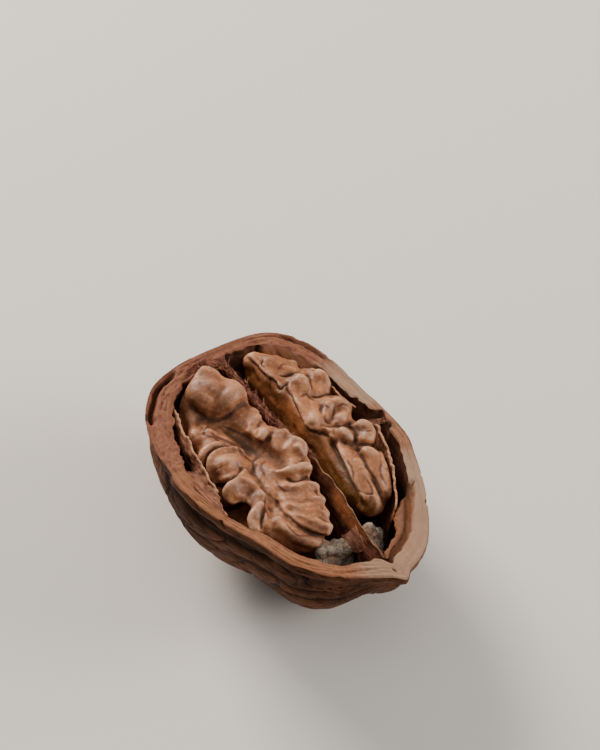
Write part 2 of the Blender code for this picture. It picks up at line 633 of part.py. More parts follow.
def lay_down(parts, shell, collection):
    """Rolls the half the way it lies, and sets its foot on Z = 0 under the middle of its box."""
    roll = Matrix.Rotation(math.radians(ROLL_DEG), 4, "X")
    down = roll.to_3x3().inverted() @ Vector((0.0, 0.0, -1.0))
    reach = cut_foot(shell, down)
    rolled = [roll @ v.co for v in shell.data.vertices]
    middle_x, middle_y = ((min(p[k] for p in rolled) + max(p[k] for p in rolled)) / 2 for k in (0, 1))
    lie = bpy.data.objects.new("lie_of_the_nut", None)
    collection.objects.link(lie)
    lie.rotation_euler = (math.radians(ROLL_DEG), 0.0, 0.0)
    lie.location = (-middle_x, -middle_y, reach)
    for part in parts:
        part.parent = lie


def main():
    """Builds every piece, and lays the half nut down."""
    for obj in list(bpy.data.objects):
        bpy.data.objects.remove(obj)
    walnut = bpy.data.collections.new("cracked_walnut")
    bpy.context.scene.collection.children.link(walnut)

    shell = make_shell(walnut)
    partition = make_partition(walnut)
    linings = [make_lining(name, walnut) for name in LININGS]
    left = make_lobe("kernel_lobe_left", LEFT_FOLDS, LEFT_CORES, -1, 5, walnut)
    right = make_lobe("kernel_lobe_right", RIGHT_FOLDS, RIGHT_CORES, 1, 8, walnut)
    packings = [
        make_packing("packing_left", PACKING_CHAINS["packing_left"], -1, walnut),
        make_packing("packing_right", PACKING_CHAINS["packing_right"], 1, walnut),
    ]

    finishes = {name: material(name) for name in COLOURS}
    shell.data.materials.append(finishes["shell"])
    partition.data.materials.append(finishes["partition"])
    for lining in linings:
        lining.data.materials.append(finishes["lining"])
    for lobe in (left, right):
        lobe.data.materials.append(finishes["kernel"])
    for lump in packings:
        lump.data.materials.append(finishes["packing"])
    parts = [shell, partition, left, right, *linings, *packings]
    for part in parts:
        part.data.shade_smooth()
    lay_down(parts, shell, walnut)


main()
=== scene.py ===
"""Half of a cracked walnut: fine shapes and finishes for its shell, kernel, partition and linings.

Shapes are worked out in millimetres in the nut's own frame: X runs from the stalk end to the
pointed tip, Z = 0 is the plane in which the two halves met, and the shell hangs below it. Headings
run round Z from +X and are in degrees. Each finished mesh is then rolled and set down the way the
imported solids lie, in metres.
"""

import json
import logging
import math
import random
from dataclasses import dataclass, field
from enum import Enum, IntEnum

import bpy
import numpy as np
from mathutils import Matrix, Vector

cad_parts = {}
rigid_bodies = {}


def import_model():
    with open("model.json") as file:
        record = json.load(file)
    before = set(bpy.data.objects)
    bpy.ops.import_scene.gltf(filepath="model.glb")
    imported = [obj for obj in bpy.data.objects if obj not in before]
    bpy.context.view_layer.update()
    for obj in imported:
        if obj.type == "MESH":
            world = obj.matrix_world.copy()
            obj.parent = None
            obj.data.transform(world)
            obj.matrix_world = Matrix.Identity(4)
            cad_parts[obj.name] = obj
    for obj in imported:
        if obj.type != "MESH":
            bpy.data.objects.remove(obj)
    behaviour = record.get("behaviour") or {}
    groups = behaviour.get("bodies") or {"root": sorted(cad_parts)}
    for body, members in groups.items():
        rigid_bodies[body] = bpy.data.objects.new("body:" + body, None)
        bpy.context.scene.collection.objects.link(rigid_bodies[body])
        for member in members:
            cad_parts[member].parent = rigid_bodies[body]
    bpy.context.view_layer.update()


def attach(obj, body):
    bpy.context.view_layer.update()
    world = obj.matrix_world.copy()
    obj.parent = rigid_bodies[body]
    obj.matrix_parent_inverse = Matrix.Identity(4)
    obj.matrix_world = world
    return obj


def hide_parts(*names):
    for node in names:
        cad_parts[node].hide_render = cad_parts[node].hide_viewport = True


LOG = logging.getLogger("walnut")
MM = 0.001
# Short names for type hints
Tree = bpy.types.NodeTree
Socket = bpy.types.NodeSocket
Piece = bpy.types.Object
Array = np.ndarray
# Keeps a division by a length of nothing from failing
TINY = 1e-9
# Each finer octave of noise takes the pattern this many numbers on
OCTAVE_STEP = 17
# Points between two traced points of a stroke, once it lies on the surface
STROKE_STEPS = 4
# How much of a sharp line's depth is gone at its two ends
SHARP_END_FADE = 0.7
# The balls of a fold stand this share of their radius apart, and are subdivided so often
BALL_STEP = 0.45
BALL_TURNS = 2


class Pattern(IntEnum):
    """Which noise a surface takes. Each has its own number, so that none repeats another."""

    RIM_FIBRE = 3
    RIM_GRIT = 9
    RIM_CRUST = 15
    CRACK_WAVER = 21
    STEP_EDGE = 27
    BROKEN_EDGE = 31
    FURROWS = 40
    STRIP_WAVE = 51
    INNER_CRUST = 57
    WOOD_SWELL = 61
    WOOD_DENTS = 71
    PARTITION_TEAR = 81
    PARTITION_CRUMB = 91
    PARTITION_BEND = 95


def smoothstep(t: Array) -> Array:
    """0 to 1, easing at both ends."""
    t = np.clip(t, 0.0, 1.0)
    return t * t * (3.0 - 2.0 * t)


def hump(distance: Array, width: float) -> Array:
    """1 at no distance, falling off like a bell of that half width."""
    return np.exp(-((distance / width) ** 2))


def curve_through(points: tuple, per_span: int = 8, closed: bool = False) -> Array:
    """A smooth curve through points.

    Args:
        points: the points that it passes, each with the same number of values.
        per_span: how many points it gets for each span between two of them.
        closed: whether it runs on from the last point to the first.

    Returns:
        The curve's points, one a row.
    """
    pts = np.array(points, float)
    count = len(pts)
    made = []
    for i in range(count if closed else count - 1):
        if closed:
            a, b, c, d = (pts[(i + k) % count] for k in (-1, 0, 1, 2))
        else:
            a, b, c, d = (pts[min(max(i + k, 0), count - 1)] for k in (-1, 0, 1, 2))
        for t in np.arange(per_span) / per_span:
            made.append(0.5 * (2 * b + (c - a) * t + (2 * a - 5 * b + 4 * c - d) * t**2
                               + (3 * b - a - 3 * c + d) * t**3))
    if not closed:
        made.append(pts[-1])
    return np.array(made)


def cell_noise(points: Array, seed: int = 0) -> Array:
    """Smooth noise between -1 and 1, from values hashed for the corners of each cell.

    Args:
        points: rows of three coordinates, in cells of the noise.
        seed: picks one pattern of many.

    Returns:
        One value a row.
    """
    cell = np.floor(points).astype(np.int64)
    ease = smoothstep(points - cell)
    total = np.zeros(len(points))
    for corner in range(8):
        step = np.array([(corner >> k) & 1 for k in range(3)])
        key = (cell + step) @ np.array([73856093, 19349663, 83492791]) + seed * 6291469
        key = ((key ^ (key >> 13)) * 1274126177) & 0x7FFFFFFF
        value = ((key ^ (key >> 16)) & 0xFFFF) / 32767.5 - 1.0
        total += np.prod(np.where(step == 1, ease, 1.0 - ease), axis=1) * value
    return total


def rough_noise(points: Array, seed: int = 0, octaves: int = 3) -> Array:
    """Noise with finer and finer noise on it.

    Args:
        points: rows of three coordinates, in cells of the coarsest noise.
        seed: picks one pattern of many.
        octaves: how many sizes there are, each half the last.

    Returns:
        One value a row, between about -1 and 1.
    """
    total = np.zeros(len(points))
    for k in range(octaves):
        total += cell_noise(points * 2.0**k, seed + OCTAVE_STEP * k) * 0.5**k
    return total


def noise_over(seed: int, *across: Array | float, octaves: int = 3) -> Array:
    """Rough noise over one, two or three coordinates.

    Args:
        seed: picks one pattern of many.
        across: the coordinates, in cells of the coarsest noise.
        octaves: how many sizes there are, each half the last.

    Returns:
        One value for each place.
    """
    rows = np.broadcast_arrays(*across, *(0.0,) * (3 - len(across)))
    return rough_noise(np.stack(rows, axis=1), seed, octaves)


def window(angle: Array, start: float, end: float, ease: float = 4.0) -> Array:
    """A stretch of headings.

    Args:
        angle: headings in degrees.
        start: where the stretch begins.
        end: where it ends.
        ease: the degrees over which it fades beyond both.

    Returns:
        1 between the two headings and 0 elsewhere.
    """
    along = (angle - start) % 360.0
    span = (end - start) % 360.0
    along = np.where(along > 180 + span / 2, along - 360, along)
    return smoothstep((along + ease) / ease) * smoothstep((span + ease - along) / ease)


def windows(angle: Array, stretches: tuple) -> Array:
    """Stretches of headings added up, each given as (start, end, ease, strength)."""
    return sum(strength * window(angle, start, end, ease) for start, end, ease, strength in stretches)


# ---- meshes


def points_of(obj: Piece) -> Array:
    """A mesh's points as rows."""
    rows = np.empty(len(obj.data.vertices) * 3)
    obj.data.vertices.foreach_get("co", rows)
    return rows.reshape(-1, 3)


def set_points(obj: Piece, points: Array) -> None:
    """Moves a mesh's points."""
    obj.data.vertices.foreach_set("co", np.ascontiguousarray(points, dtype=np.float32).ravel())
    obj.data.update()


def normals_of(obj: Piece) -> Array:
    """A mesh's outward directions at its points."""
    rows = np.empty(len(obj.data.vertices) * 3)
    obj.data.vertex_normals.foreach_get("vector", rows)
    return rows.reshape(-1, 3)


def edges_of(obj: Piece) -> Array:
    """A mesh's edges as pairs of point numbers."""
    rows = np.empty(len(obj.data.edges) * 2, dtype=np.int32)
    obj.data.edges.foreach_get("vertices", rows)
    return rows.reshape(-1, 2)


def paint(obj: Piece, name: str, values: Array) -> None:
    """Keeps a value at each point of a mesh, for its material to read."""
    layer = obj.data.attributes.new(name, "FLOAT", "POINT")
    layer.data.foreach_set("value", np.ascontiguousarray(values, dtype=np.float32))


def relaxed(points: Array, edges: Array, rounds: int) -> Array:
    """Points after each has been drawn halfway to the middle of its neighbours, some times over.

    Args:
        points: rows of coordinates.
        edges: pairs of point numbers.
        rounds: how often it is done.

    Returns:
        The points' new places.
    """
    count = len(points)
    shared = np.bincount(edges.ravel(), minlength=count)[:, None]
    for _ in range(rounds):
        total = np.stack([
            np.bincount(edges[:, 0], points[edges[:, 1], k], count)
            + np.bincount(edges[:, 1], points[edges[:, 0], k], count) for k in range(3)
        ], axis=1)
        points = 0.5 * points + 0.5 * total / shared
    return points


def hollowness(obj: Piece, rounds: int) -> Array:
    """How far each point lies below its surroundings, in the mesh's own units."""
    points = points_of(obj)
    return ((relaxed(points, edges_of(obj), rounds) - points) * normals_of(obj)).sum(axis=1)


def nearest(points: Array, path: Array) -> Array:
    """For each point of a path, the nearest of the points."""
    return np.array([points[((points - spot) ** 2).sum(axis=1).argmin()] for spot in path])


def line_mask(points: Array, line: tuple, reach: float, round_top: float) -> Array:
    """How near points of a surface lie to a line drawn on it.

    Args:
        points: the surface's points, rows of coordinates in millimetres.
        line: (x, y, z) points in millimetres, which are moved to the surface's nearest points.
        reach: the distance at which the mask ends.
        round_top: 1 for a rounded crest that keeps its height to its ends, 0 for a sharp line
            that eases off there.

    Returns:
        1 on the line, falling to 0 at its reach.
    """
    path = nearest(points, line)
    if len(path) > 2:
        path = nearest(points, curve_through(path, STROKE_STEPS))
    length = np.linalg.norm(np.diff(path, axis=0), axis=1).sum()
    steps = np.linspace(0.0, 1.0, len(path))
    mask = np.zeros(len(points))
    for k, (a, b) in enumerate(zip(path[:-1], path[1:])):
        near = np.abs(points - (a + b) / 2).max(axis=1) < np.linalg.norm(b - a) / 2 + reach
        span = b - a
        t = np.clip((points[near] - a) @ span / max(span @ span, TINY), 0, 1)
        gap = np.clip(np.linalg.norm(points[near] - (a + t[:, None] * span), axis=1) / reach, 0, 1)
        here = round_top * (1 - gap**2) ** 1.5 + (1 - round_top) * (1 - gap) ** 2
        if length > 2 * reach:
            share = steps[k] + (steps[k + 1] - steps[k]) * t
            ease = smoothstep(np.minimum(share, 1 - share) * length / (2 * reach))
            here *= 1 - (1 - round_top) * SHARP_END_FADE * (1 - ease)
        mask[near] = np.maximum(mask[near], here)
    return mask


def strokes_mask(points: Array, strokes: tuple, round_top: float = 1.0) -> Array:
    """The deepest of several strokes at each point.

    Args:
        points: the surface's points in millimetres.
        strokes: each (reach, depth, points along it) in millimetres.
        round_top: as line_mask takes it.

    Returns:
        The depth in millimetres.
    """
    depth = np.zeros(len(points))
    for reach, amount, line in strokes:
        depth = np.maximum(depth, amount * line_mask(points, line, reach, round_top))
    return depth


def clear_selection() -> None:
    """Leaves nothing selected, so that an operator acts on the new piece alone."""
    for obj in bpy.context.selected_objects:
        obj.select_set(False)


def pick(obj: Piece) -> None:
    """Selects one piece and makes it the active one."""
    clear_selection()
    obj.select_set(True)
    bpy.context.view_layer.objects.active = obj


def finish_modifier(obj: Piece, kind: str, **settings: object) -> None:
    """Adds a modifier to a piece and applies it.

    Args:
        obj: the piece.
        kind: the modifier's type.
        settings: its properties and their values.
    """
    step = obj.modifiers.new(kind.lower(), kind)
    for name, value in settings.items():
        setattr(step, name, value)
    pick(obj)
    bpy.ops.object.modifier_apply(modifier=step.name)


def new_grid(name: str, columns: int, rows: int) -> Piece:
    """Adds a flat grid from -1 to 1, to be bent into a sheet.

    Args:
        name: the object's name.
        columns: how many faces it has along X.
        rows: how many it has along Y.

    Returns:
        The grid.
    """
    clear_selection()
    bpy.ops.mesh.primitive_grid_add(x_subdivisions=columns, y_subdivisions=rows, size=2.0)
    obj = bpy.context.object
    obj.name = obj.data.name = name
    return obj


def new_balls(name: str, balls: list) -> Piece:
    """Adds one object of many balls.

    Args:
        name: the object's name.
        balls: for each its centre, its half lengths and how often it is subdivided.

    Returns:
        The object, its balls not yet joined.
    """
    clear_selection()
    bpy.ops.mesh.primitive_ico_sphere_add(subdivisions=1, radius=0.01, location=(0, 0, 0))
    obj = bpy.context.object
    obj.name = obj.data.name = name
    bpy.ops.object.mode_set(mode="EDIT")
    bpy.ops.mesh.delete(type="VERT")
    for centre, half, turns in balls:
        bpy.ops.mesh.primitive_ico_sphere_add(
            subdivisions=turns, radius=1.0, location=tuple(centre), scale=tuple(half)
        )
    bpy.ops.object.mode_set(mode="OBJECT")
    return obj


def balls_along(stations: tuple) -> list:
    """Balls along a fold, close enough to make one rounded ridge of it.

    Args:
        stations: (x, y, z, radius) in millimetres along the fold.

    Returns:
        The balls, as new_balls takes them.
    """
    path = np.array(stations, float)
    balls = [(path[0][:3], (path[0][3],) * 3, BALL_TURNS)]
    for a, b in zip(path[:-1], path[1:]):
        steps = max(1, math.ceil(np.linalg.norm(b[:3] - a[:3]) / (BALL_STEP * min(a[3], b[3]))))
        for k in range(1, steps + 1):
            at = a + (b - a) * k / steps
            balls.append((at[:3], (at[3],) * 3, BALL_TURNS))
    return balls


@dataclass(frozen=True)
class Lie:
    """How the half nut lies: rolled about its length, then set down on its foot."""

    roll_deg: float = -12.0
    place_mm: tuple = (-0.520, 0.299, 15.563)
    # The foot stays this far above the floor, so that the two faces don't coincide
    clear_m: float = 0.00001

    def matrix(self) -> Array:
        """The turn from the nut's own frame to the world's."""
        return np.array(Matrix.Rotation(math.radians(self.roll_deg), 3, "X"))

    def settle(self, obj: Piece) -> None:
        """Takes a piece from millimetres in the nut's frame to metres in the world.

        Args:
            obj: the piece, which is smoothed in shading too.
        """
        world = (points_of(obj) @ self.matrix().T + np.array(self.place_mm)) * MM
        world[:, 2] = np.maximum(world[:, 2], self.clear_m)
        set_points(obj, world)
        obj.data.shade_smooth()


@dataclass(frozen=True)
class NutForm:
    """The half shell's form, which every piece in it keeps clear of. Lengths in millimetres."""

    # The rim's outer edge: (x, y) round it
    outline: tuple = (
        (21.5, 0.0), (20.5, 1.3), (19.7, 3.2), (18.2, 5.5), (15.8, 7.7), (12.5, 10.0), (9.4, 11.8),
        (6.0, 13.5), (2.4, 14.9), (-2.9, 14.8), (-5.4, 14.5), (-8.5, 14.4), (-11.3, 14.2),
        (-13.8, 13.7), (-16.2, 12.8), (-18.4, 11.2), (-19.8, 9.0), (-20.4, 6.0), (-20.5, 2.5),
        (-20.4, -0.5), (-19.9, -4.1), (-18.1, -8.8), (-14.1, -12.4), (-9.1, -14.4), (-4.6, -15.4),
        (-0.7, -15.3), (3.7, -14.1), (8.9, -12.1), (13.9, -10.0), (17.3, -6.7), (18.6, -4.7),
        (19.7, -2.7), (20.6, -1.1),
    )
    # Width of the rim's top face: (heading, width)
    rim_widths: tuple = (
        (0, 3.2), (15, 2.9), (35, 2.2), (50, 1.2), (75, 1.0), (95, 1.2), (115, 1.7), (140, 2.4),
        (165, 1.9), (180, 1.5), (200, 2.3), (218, 2.9), (236, 2.6), (255, 1.7), (280, 1.5), (310, 1.5),
        (340, 1.9),
    )
    depth: float = 16.0
    floor_wall: float = 1.9
    wall: float = 1.5
    # The wall goes from the rim's width to its own over this angle below the rim
    rim_blend: float = math.radians(24)
    # How much the bowl swells out below the rim, as a share of its radius
    belly: float = 0.035
    # How far the bowl's bottom lies off the rim's middle, and the power with which it gets there
    drift: tuple = (2.0, 0.6)
    drift_power: float = 1.3
    # Power of the bowl's profile: all round, at the lean flank and under the tip
    full_power: float = 2.15
    flank_power: float = 1.77
    tip_power: float = 1.38
    flank_heading: float = math.radians(-62)
    flank_spread: float = math.radians(36)
    tip_spread: float = math.radians(18)
    keel_height: float = 0.55
    keel_width: float = 1.2
    # Room that the pieces inside leave each other
    gap: float = 0.4
    # Middle of the partition (x, y), its top edge (x, z) and half its thickness
    partition_line: tuple = (
        (-19.0, 1.9), (-14.0, 2.0), (-8.0, 2.3), (-2.0, 2.6), (3.0, 2.2), (8.9, 1.3), (13.0, 0.6),
        (18.6, -0.1),
    )
    partition_top: tuple = (
        (-19.0, -0.4), (-15.0, -0.9), (-8.0, -1.4), (-2.0, -1.2), (2.0, -0.6), (10.0, -0.3),
        (19.0, -0.3),
    )
    partition_half: float = 0.35
    outline_steps: int = 12
    line_steps: int = 6
    floor_rounds: int = 12

    def edge_radius(self, phi: Array) -> Array:
        """Distance from the nut's axis to the bowl's edge, inside the keel.

        Args:
            phi: headings round the nut in radians.

        Returns:
            The distances.
        """
        edge = curve_through(self.outline, self.outline_steps, closed=True)
        headings = np.arctan2(edge[:, 1], edge[:, 0])
        order = np.argsort(headings)
        radii = np.hypot(edge[:, 0], edge[:, 1])[order]
        return np.interp(phi, headings[order], radii, period=2 * math.pi) - self.keel_height

    def rim_width(self, phi: Array) -> Array:
        """Width of the rim's top face."""
        table = np.array(self.rim_widths)
        return np.interp(phi, np.radians(table[:, 0]), table[:, 1], period=2 * math.pi)

    def fullness(self, phi: Array) -> Array:
        """Power of the bowl's profile: full all round, leaner at one flank and under the tip.

        Args:
            phi: headings round the nut in radians.

        Returns:
            The power at each.
        """
        near_tip = hump(np.angle(np.exp(1j * phi)), self.tip_spread)
        near_flank = hump(np.angle(np.exp(1j * (phi - self.flank_heading))), self.flank_spread)
        power = self.full_power + (self.flank_power - self.full_power) * near_flank
        return power + (self.tip_power - power) * near_tip

    def drifted(self, down: Array) -> tuple:
        """How far the bowl's section has moved along X and Y at a share down of its depth."""
        share = np.clip(down, 0.0, 1.0) ** self.drift_power
        return self.drift[0] * share, self.drift[1] * share

    def wall_at(self, phi: Array, tau: Array) -> Array:
        """Thickness of the wall at an angle tau below the rim."""
        width = self.rim_width(phi)
        return width + (self.wall - width) * smoothstep(tau / self.rim_blend)

    def bowl(self, phi: Array, tau: Array, inset: Array, depth: float) -> Array:
        """Points of the bowl.

        Args:
            phi: headings round the nut in radians.
            tau: angles below the rim, from 0 at the rim to a quarter turn at the bottom.
            inset: how far the surface is drawn in.
            depth: how deep it reaches below the rim.

        Returns:
            Rows of coordinates in the nut's frame.
        """
        power = self.fullness(phi)
        across = np.cos(tau) ** (2 / power) * (1 + self.belly * np.sin(2 * tau))
        down = np.sin(tau) ** (2 / power)
        radius = (self.edge_radius(phi) - inset) * across
        move_x, move_y = self.drifted(down)
        x, y = radius * np.cos(phi) + move_x, radius * np.sin(phi) + move_y
        return np.stack([x, y, -depth * down], axis=-1)

    def kept_inside(self, points: Array, gap: float) -> Array:
        """Draws points in, where needed, to stay inside the shell's inner face.

        Args:
            points: rows of coordinates in the nut's frame.
            gap: how far from that face they stay.

        Returns:
            The points' new places.
        """
        depth = self.depth - self.floor_wall - gap
        down = np.clip(-points[:, 2] / depth, 0.0, None)
        move_x, move_y = self.drifted(down)
        x, y = points[:, 0] - move_x, points[:, 1] - move_y
        phi = np.arctan2(y, x)
        power = self.fullness(phi)
        tau = np.arcsin(np.clip(down, 0.0, 1.0) ** (power / 2))
        reach = self.edge_radius(phi) - self.wall_at(phi, tau) - gap
        share = ((np.hypot(x, y) / reach) ** power + down**power) ** (1 / power)
        scale = np.where(share > 1.0, 1.0 / share, 1.0)
        z = np.where(points[:, 2] < 0, points[:, 2] * scale, points[:, 2])
        move_x, move_y = self.drifted(-z / depth)
        return np.stack([x * scale + move_x, y * scale + move_y, z], axis=-1)

    def floor_under(self, x: Array, y: Array) -> Array:
        """Height of the shell's inner face, plus the gap, found in rounds as the bowl drifts.

        Args:
            x: places along the nut.
            y: places across it.

        Returns:
            The height at each.
        """
        depth = self.depth - self.floor_wall - self.gap
        down = np.ones_like(x)
        for _ in range(self.floor_rounds):
            move_x, move_y = self.drifted(down)
            phi = np.arctan2(y - move_y, x - move_x)
            power = self.fullness(phi)
            out = np.hypot(x - move_x, y - move_y) / (self.edge_radius(phi) - self.wall - self.gap)
            down = 0.5 * down + 0.5 * (1 - np.clip(out, 0.0, 1.0) ** power) ** (1 / power)
        return -depth * down

    def partition_at(self, x: Array) -> tuple:
        """The partition's middle line and the height of its top edge at x."""
        line, top = (curve_through(table, self.line_steps) for table in (self.partition_line, self.partition_top))
        return np.interp(x, line[:, 0], line[:, 1]), np.interp(x, top[:, 0], top[:, 1])


@dataclass
class WoodyShell:
    """The half shell: a bowl with a keeled, broken rim, long grooves and a drawn-out tip."""

    form: NutForm
    # Faces round the mesh, and rings of them outside, on the rim and inside, crowded to the rim
    headings: int = 560
    outer_rings: int = 96
    rim_rings: int = 22
    inner_rings: int = 44
    crowding: float = 1.35
    # Long grooves: angle round X below the rim, depth, width, waver
    grooves: tuple = (
        (12.0, 0.5, 2.8, 1.0), (26.0, 0.42, 3.0, 2.0), (42.0, 0.6, 3.4, 3.0), (59.0, 0.46, 3.2, 3.6),
        (78.0, 0.55, 3.8, 3.2), (99.0, 0.5, 3.6, 3.4), (118.0, 0.6, 3.4, 3.0), (137.0, 0.44, 3.2, 3.2),
        (153.0, 0.55, 3.0, 2.0), (168.0, 0.46, 2.8, 1.0),
    )
    # Each wavers along the nut in two waves: share of its waver, turns per mm, phase step
    groove_waves: tuple = ((1.0, 0.22, 1.7), (0.4, 0.55, 1.0))
    # Its depth varies along the nut: mean share, change, turns per mm, phase step
    groove_strength: tuple = (0.65, 0.35, 0.31, 2.3)
    groove_end: float = 22.0
    groove_fade: float = 5.0
    # The share of the solid's groove depth that is left, because furrows add the rest
    groove_share: float = 0.36
    # Furrows along each groove, cut in and darkened with painted shade: place in its width and strength
    furrow_rows: tuple = ((0.0, 1.0), (0.75, 0.6))
    # Their waver: degrees, turns per mm, phase step for each groove and row
    furrow_waver: tuple = (0.9, 1.3, 2.0, 5.0)
    # Where they break off: swing, turns per mm, phase step for each groove and row, mean
    furrow_breaks: tuple = (2.2, 0.33, 2.1, 9.0, 1.1)
    furrow_width: float = 1.5
    furrow_depth: float = 0.34
    furrow_end: float = 20.5
    furrow_fade: float = 4.0
    # Fine forking furrows: length, spread in degrees, strength; and half width, share of a cell
    fine_furrows: tuple = ((9.0, 15.0, 1.0), (5.0, 9.0, 0.6))
    fine_step: float = 3.7
    fine_width: float = 0.13
    # Unevenness of the wood: cells of its swell, height; cells of its dents, height; its crest
    swell_cells: tuple = (3.2, 0.9, 0.9)
    swell: float = 0.08
    dent_cell: float = 5.0
    dent: float = 0.12
    uneven_most: float = 0.06
    # The hollow below the keel: height of its middle, half width, depth
    below_keel: tuple = (-2.3, 0.55, 0.24)
    # Half lengths of the egg whose outward direction the relief follows
    egg: tuple = (20.5, 14.8, 16.0)
    # Small rises and dips of the rim: height, how many round the nut, phase; and how deep they reach
    rim_waves: tuple = ((0.16, 3, 0.6), (0.10, 7, 1.9))
    rim_wave_reach: float = 3.0
    # Distance round the nut for each radian: at the rim, its inner edge, the wall and its crust
    rim_arc: float = 18.0
    edge_arc: float = 15.0
    wall_arc: float = 14.0
    crust_arc: float = 20.0
    # Relief of the rim: pattern, length, breadth, third place, height, more height where coarse
    rim_grain: tuple = (
        (Pattern.RIM_FIBRE, 2.6, 0.28, 0.0, 0.045, 0.08),
        (Pattern.RIM_GRIT, 0.7, 0.45, 5.0, 0.02, 0.07),
        (Pattern.RIM_CRUST, 0.35, 0.3, 9.0, 0.0, 0.06),
    )
    rim_relief_most: float = 0.14
    # Headings where the rim is coarse: start, end, easing, strength
    coarse_rim: tuple = ((186, 246, 8, 1.0), (136, 160, 6, 0.8))
    # Rounding of the rim's outer and inner edge: depth, width
    rim_edges: tuple = ((0.16, 0.12), (0.12, 0.14))
    # Cracks along the rim: (heading, distance in from the outline) stations, width and depth
    cracks: tuple = (
        (((197, 0.6), (204, 0.68), (210, 0.82), (215, 0.8), (219, 0.75)), 0.36, 1.6),
        (((214, 0.3), (222, 0.6), (232, 0.9), (246, 1.0), (262, 0.9)), 0.10, 0.2),
        (((232, 0.45), (242, 0.55), (255, 0.6), (268, 0.5)), 0.10, 0.16),
        (((147, 0.9), (141, 0.8), (135, 0.7)), 0.20, 0.45),
        (((340, 0.9), (350, 1.3), (356, 1.6)), 0.12, 0.2),
        (((280, 0.75), (295, 0.55), (310, 0.7), (325, 0.6), (338, 0.8)), 0.09, 0.14),
        (((296, 1.05), (306, 0.95), (318, 1.1)), 0.08, 0.10),
    )
    # A crack's waver (cell, distance), and the degrees over which it ends
    crack_waver: tuple = (0.8, 0.07)
    crack_ease: float = 5.0
    # Where the rim steps down to its inner layer: (heading, distance in from the outline)
    step_line: tuple = ((-6, 3.3), (0, 2.9), (7, 2.5), (14, 2.35), (23, 2.1), (31, 1.75), (40, 1.25), (50, 0.95))
    # How far it steps down, how wide the step is, its tear (cell, distance) and its ends' easing
    step_drop: float = 0.5
    step_width: float = 0.22
    step_tear: tuple = (0.9, 0.10)
    step_ease: float = 5.0
    # How rough the rim's inner edge is everywhere and in places, and where it is broken back
    edge_rough: float = 0.06
    edge_cell: float = 1.1
    rough_edge: tuple = ((186, 250, 8, 0.22), (136, 176, 6, 0.2))
    bites: tuple = (
        (159, 171, 4, 0.9), (264, 298, 9, 0.62), (336, 352, 5, 0.45), (97, 111, 5, 0.45), (89, 98, 3, 0.9),
    )
    edge_reach: float = 2.5
    # A second strip below the rim's inner edge: headings, how far it juts in, how far down, easing
    strips: tuple = (
        (4, 30, 1.35, 1.0, 10), (318, 338, 0.45, 1.2, 6), (138, 154, 1.35, 0.6, 5), (176, 186, 0.8, 0.5, 4),
    )
    # Its unevenness (cell down the wall, share), and how far below its crest it ends
    strip_wave: tuple = (0.8, 0.3)
    strip_fall: float = 2.2
    # Soft ribs of the inner face: height, how many, their bend and the bend's turns
    inner_ribs: tuple = (0.12, 9, 2, 3)
    # Crust of the far inner wall: headings, depth that it reaches, cell down the wall, height
    crusty: tuple = (100, 186, 12)
    crust_reach: float = 5.0
    crust_cell: float = 0.7
    crust_height: float = 0.15
    # The crack of the seam at the tip: y, its waver (distance, turns per mm), half width and depth
    suture_y: float = -0.35
    suture_waver: tuple = (0.05, 3.1)
    suture_width: float = 0.11
    suture_depth: float = 0.45
    # Where it opens: x, over how far, strength; and where it ends
    suture_rise: tuple = ((17.6, 0.8, 0.3), (18.9, 0.5, 0.7))
    suture_end: tuple = (20.2, 0.5)
    # Where the wood looks freshly broken or torn, and where the strips' bare wood is painted lighter as painted
    # light: start, end, easing, strength
    fresh_rim: tuple = ((108, 134, 6, 1.0), (352, 66, 9, 1.0), (66, 108, 6, 0.3))
    torn_rim: tuple = ((182, 244, 10, 1.0), (134, 178, 8, 1.0))
    lit_strips: tuple = ((350, 60, 6, 1.0), (134, 160, 5, 0.7))

    def around(self, points: Array) -> Array:
        """The angle of points round the nut's length, in degrees below the rim."""
        return np.degrees(np.arctan2(-points[:, 2], points[:, 1]))

    def groove_line(self, k: int, along: Array) -> Array:
        """The angle below the rim at which long groove k runs, at places along the nut."""
        angle, _, _, waver = self.grooves[k]
        for share, turns, step in self.groove_waves:
            angle = angle + share * waver * np.sin(turns * along + step * k)
        return angle

    def groove_depths(self, points: Array) -> Array:
        """How deep the long grooves lie.

        Args:
            points: places on the outer face.

        Returns:
            Depths in millimetres.
        """
        around, along = self.around(points), points[:, 0]
        mean, change, turns, step = self.groove_strength
        depths = np.zeros(len(points))
        for k, (_, depth, width, _) in enumerate(self.grooves):
            strength = mean + change * np.sin(turns * along + step * k)
            depths += depth * strength * hump(around - self.groove_line(k, along), width)
        return self.groove_share * depths * smoothstep((self.groove_end - np.abs(along)) / self.groove_fade)

    def furrows(self, points: Array) -> Array:
        """Narrow furrows, which also get painted shade: along the long grooves, and forking between them.

        Args:
            points: places on the outer face.

        Returns:
            0 where there is none, to 1.
        """
        around, along = self.around(points), points[:, 0]
        waver, waver_turns, *waver_steps = self.furrow_waver
        swing, break_turns, *break_steps, mean = self.furrow_breaks
        sharp = np.zeros(len(points))
        for k, (_, _, width, _) in enumerate(self.grooves):
            for share, strength in self.furrow_rows:
                wave = waver * np.sin(waver_turns * along + waver_steps[0] * k + waver_steps[1] * share)
                off = around - self.groove_line(k, along) - share * width + wave
                whole = swing * np.sin(break_turns * along + break_steps[0] * k + break_steps[1] * share) + mean
                sharp = np.maximum(sharp, strength * smoothstep(whole) * hump(off, self.furrow_width))
        fine = np.zeros(len(points))
        for k, (length, spread, strength) in enumerate(self.fine_furrows):
            value = noise_over(Pattern.FURROWS + k, along / length, around / spread, self.fine_step * k, octaves=2)
            fine += smoothstep(1 - np.abs(value) / self.fine_width) * strength
        held = smoothstep((self.furrow_end - np.abs(along)) / self.furrow_fade)
        return np.maximum(np.clip(fine, 0, 1) * held, sharp * held)

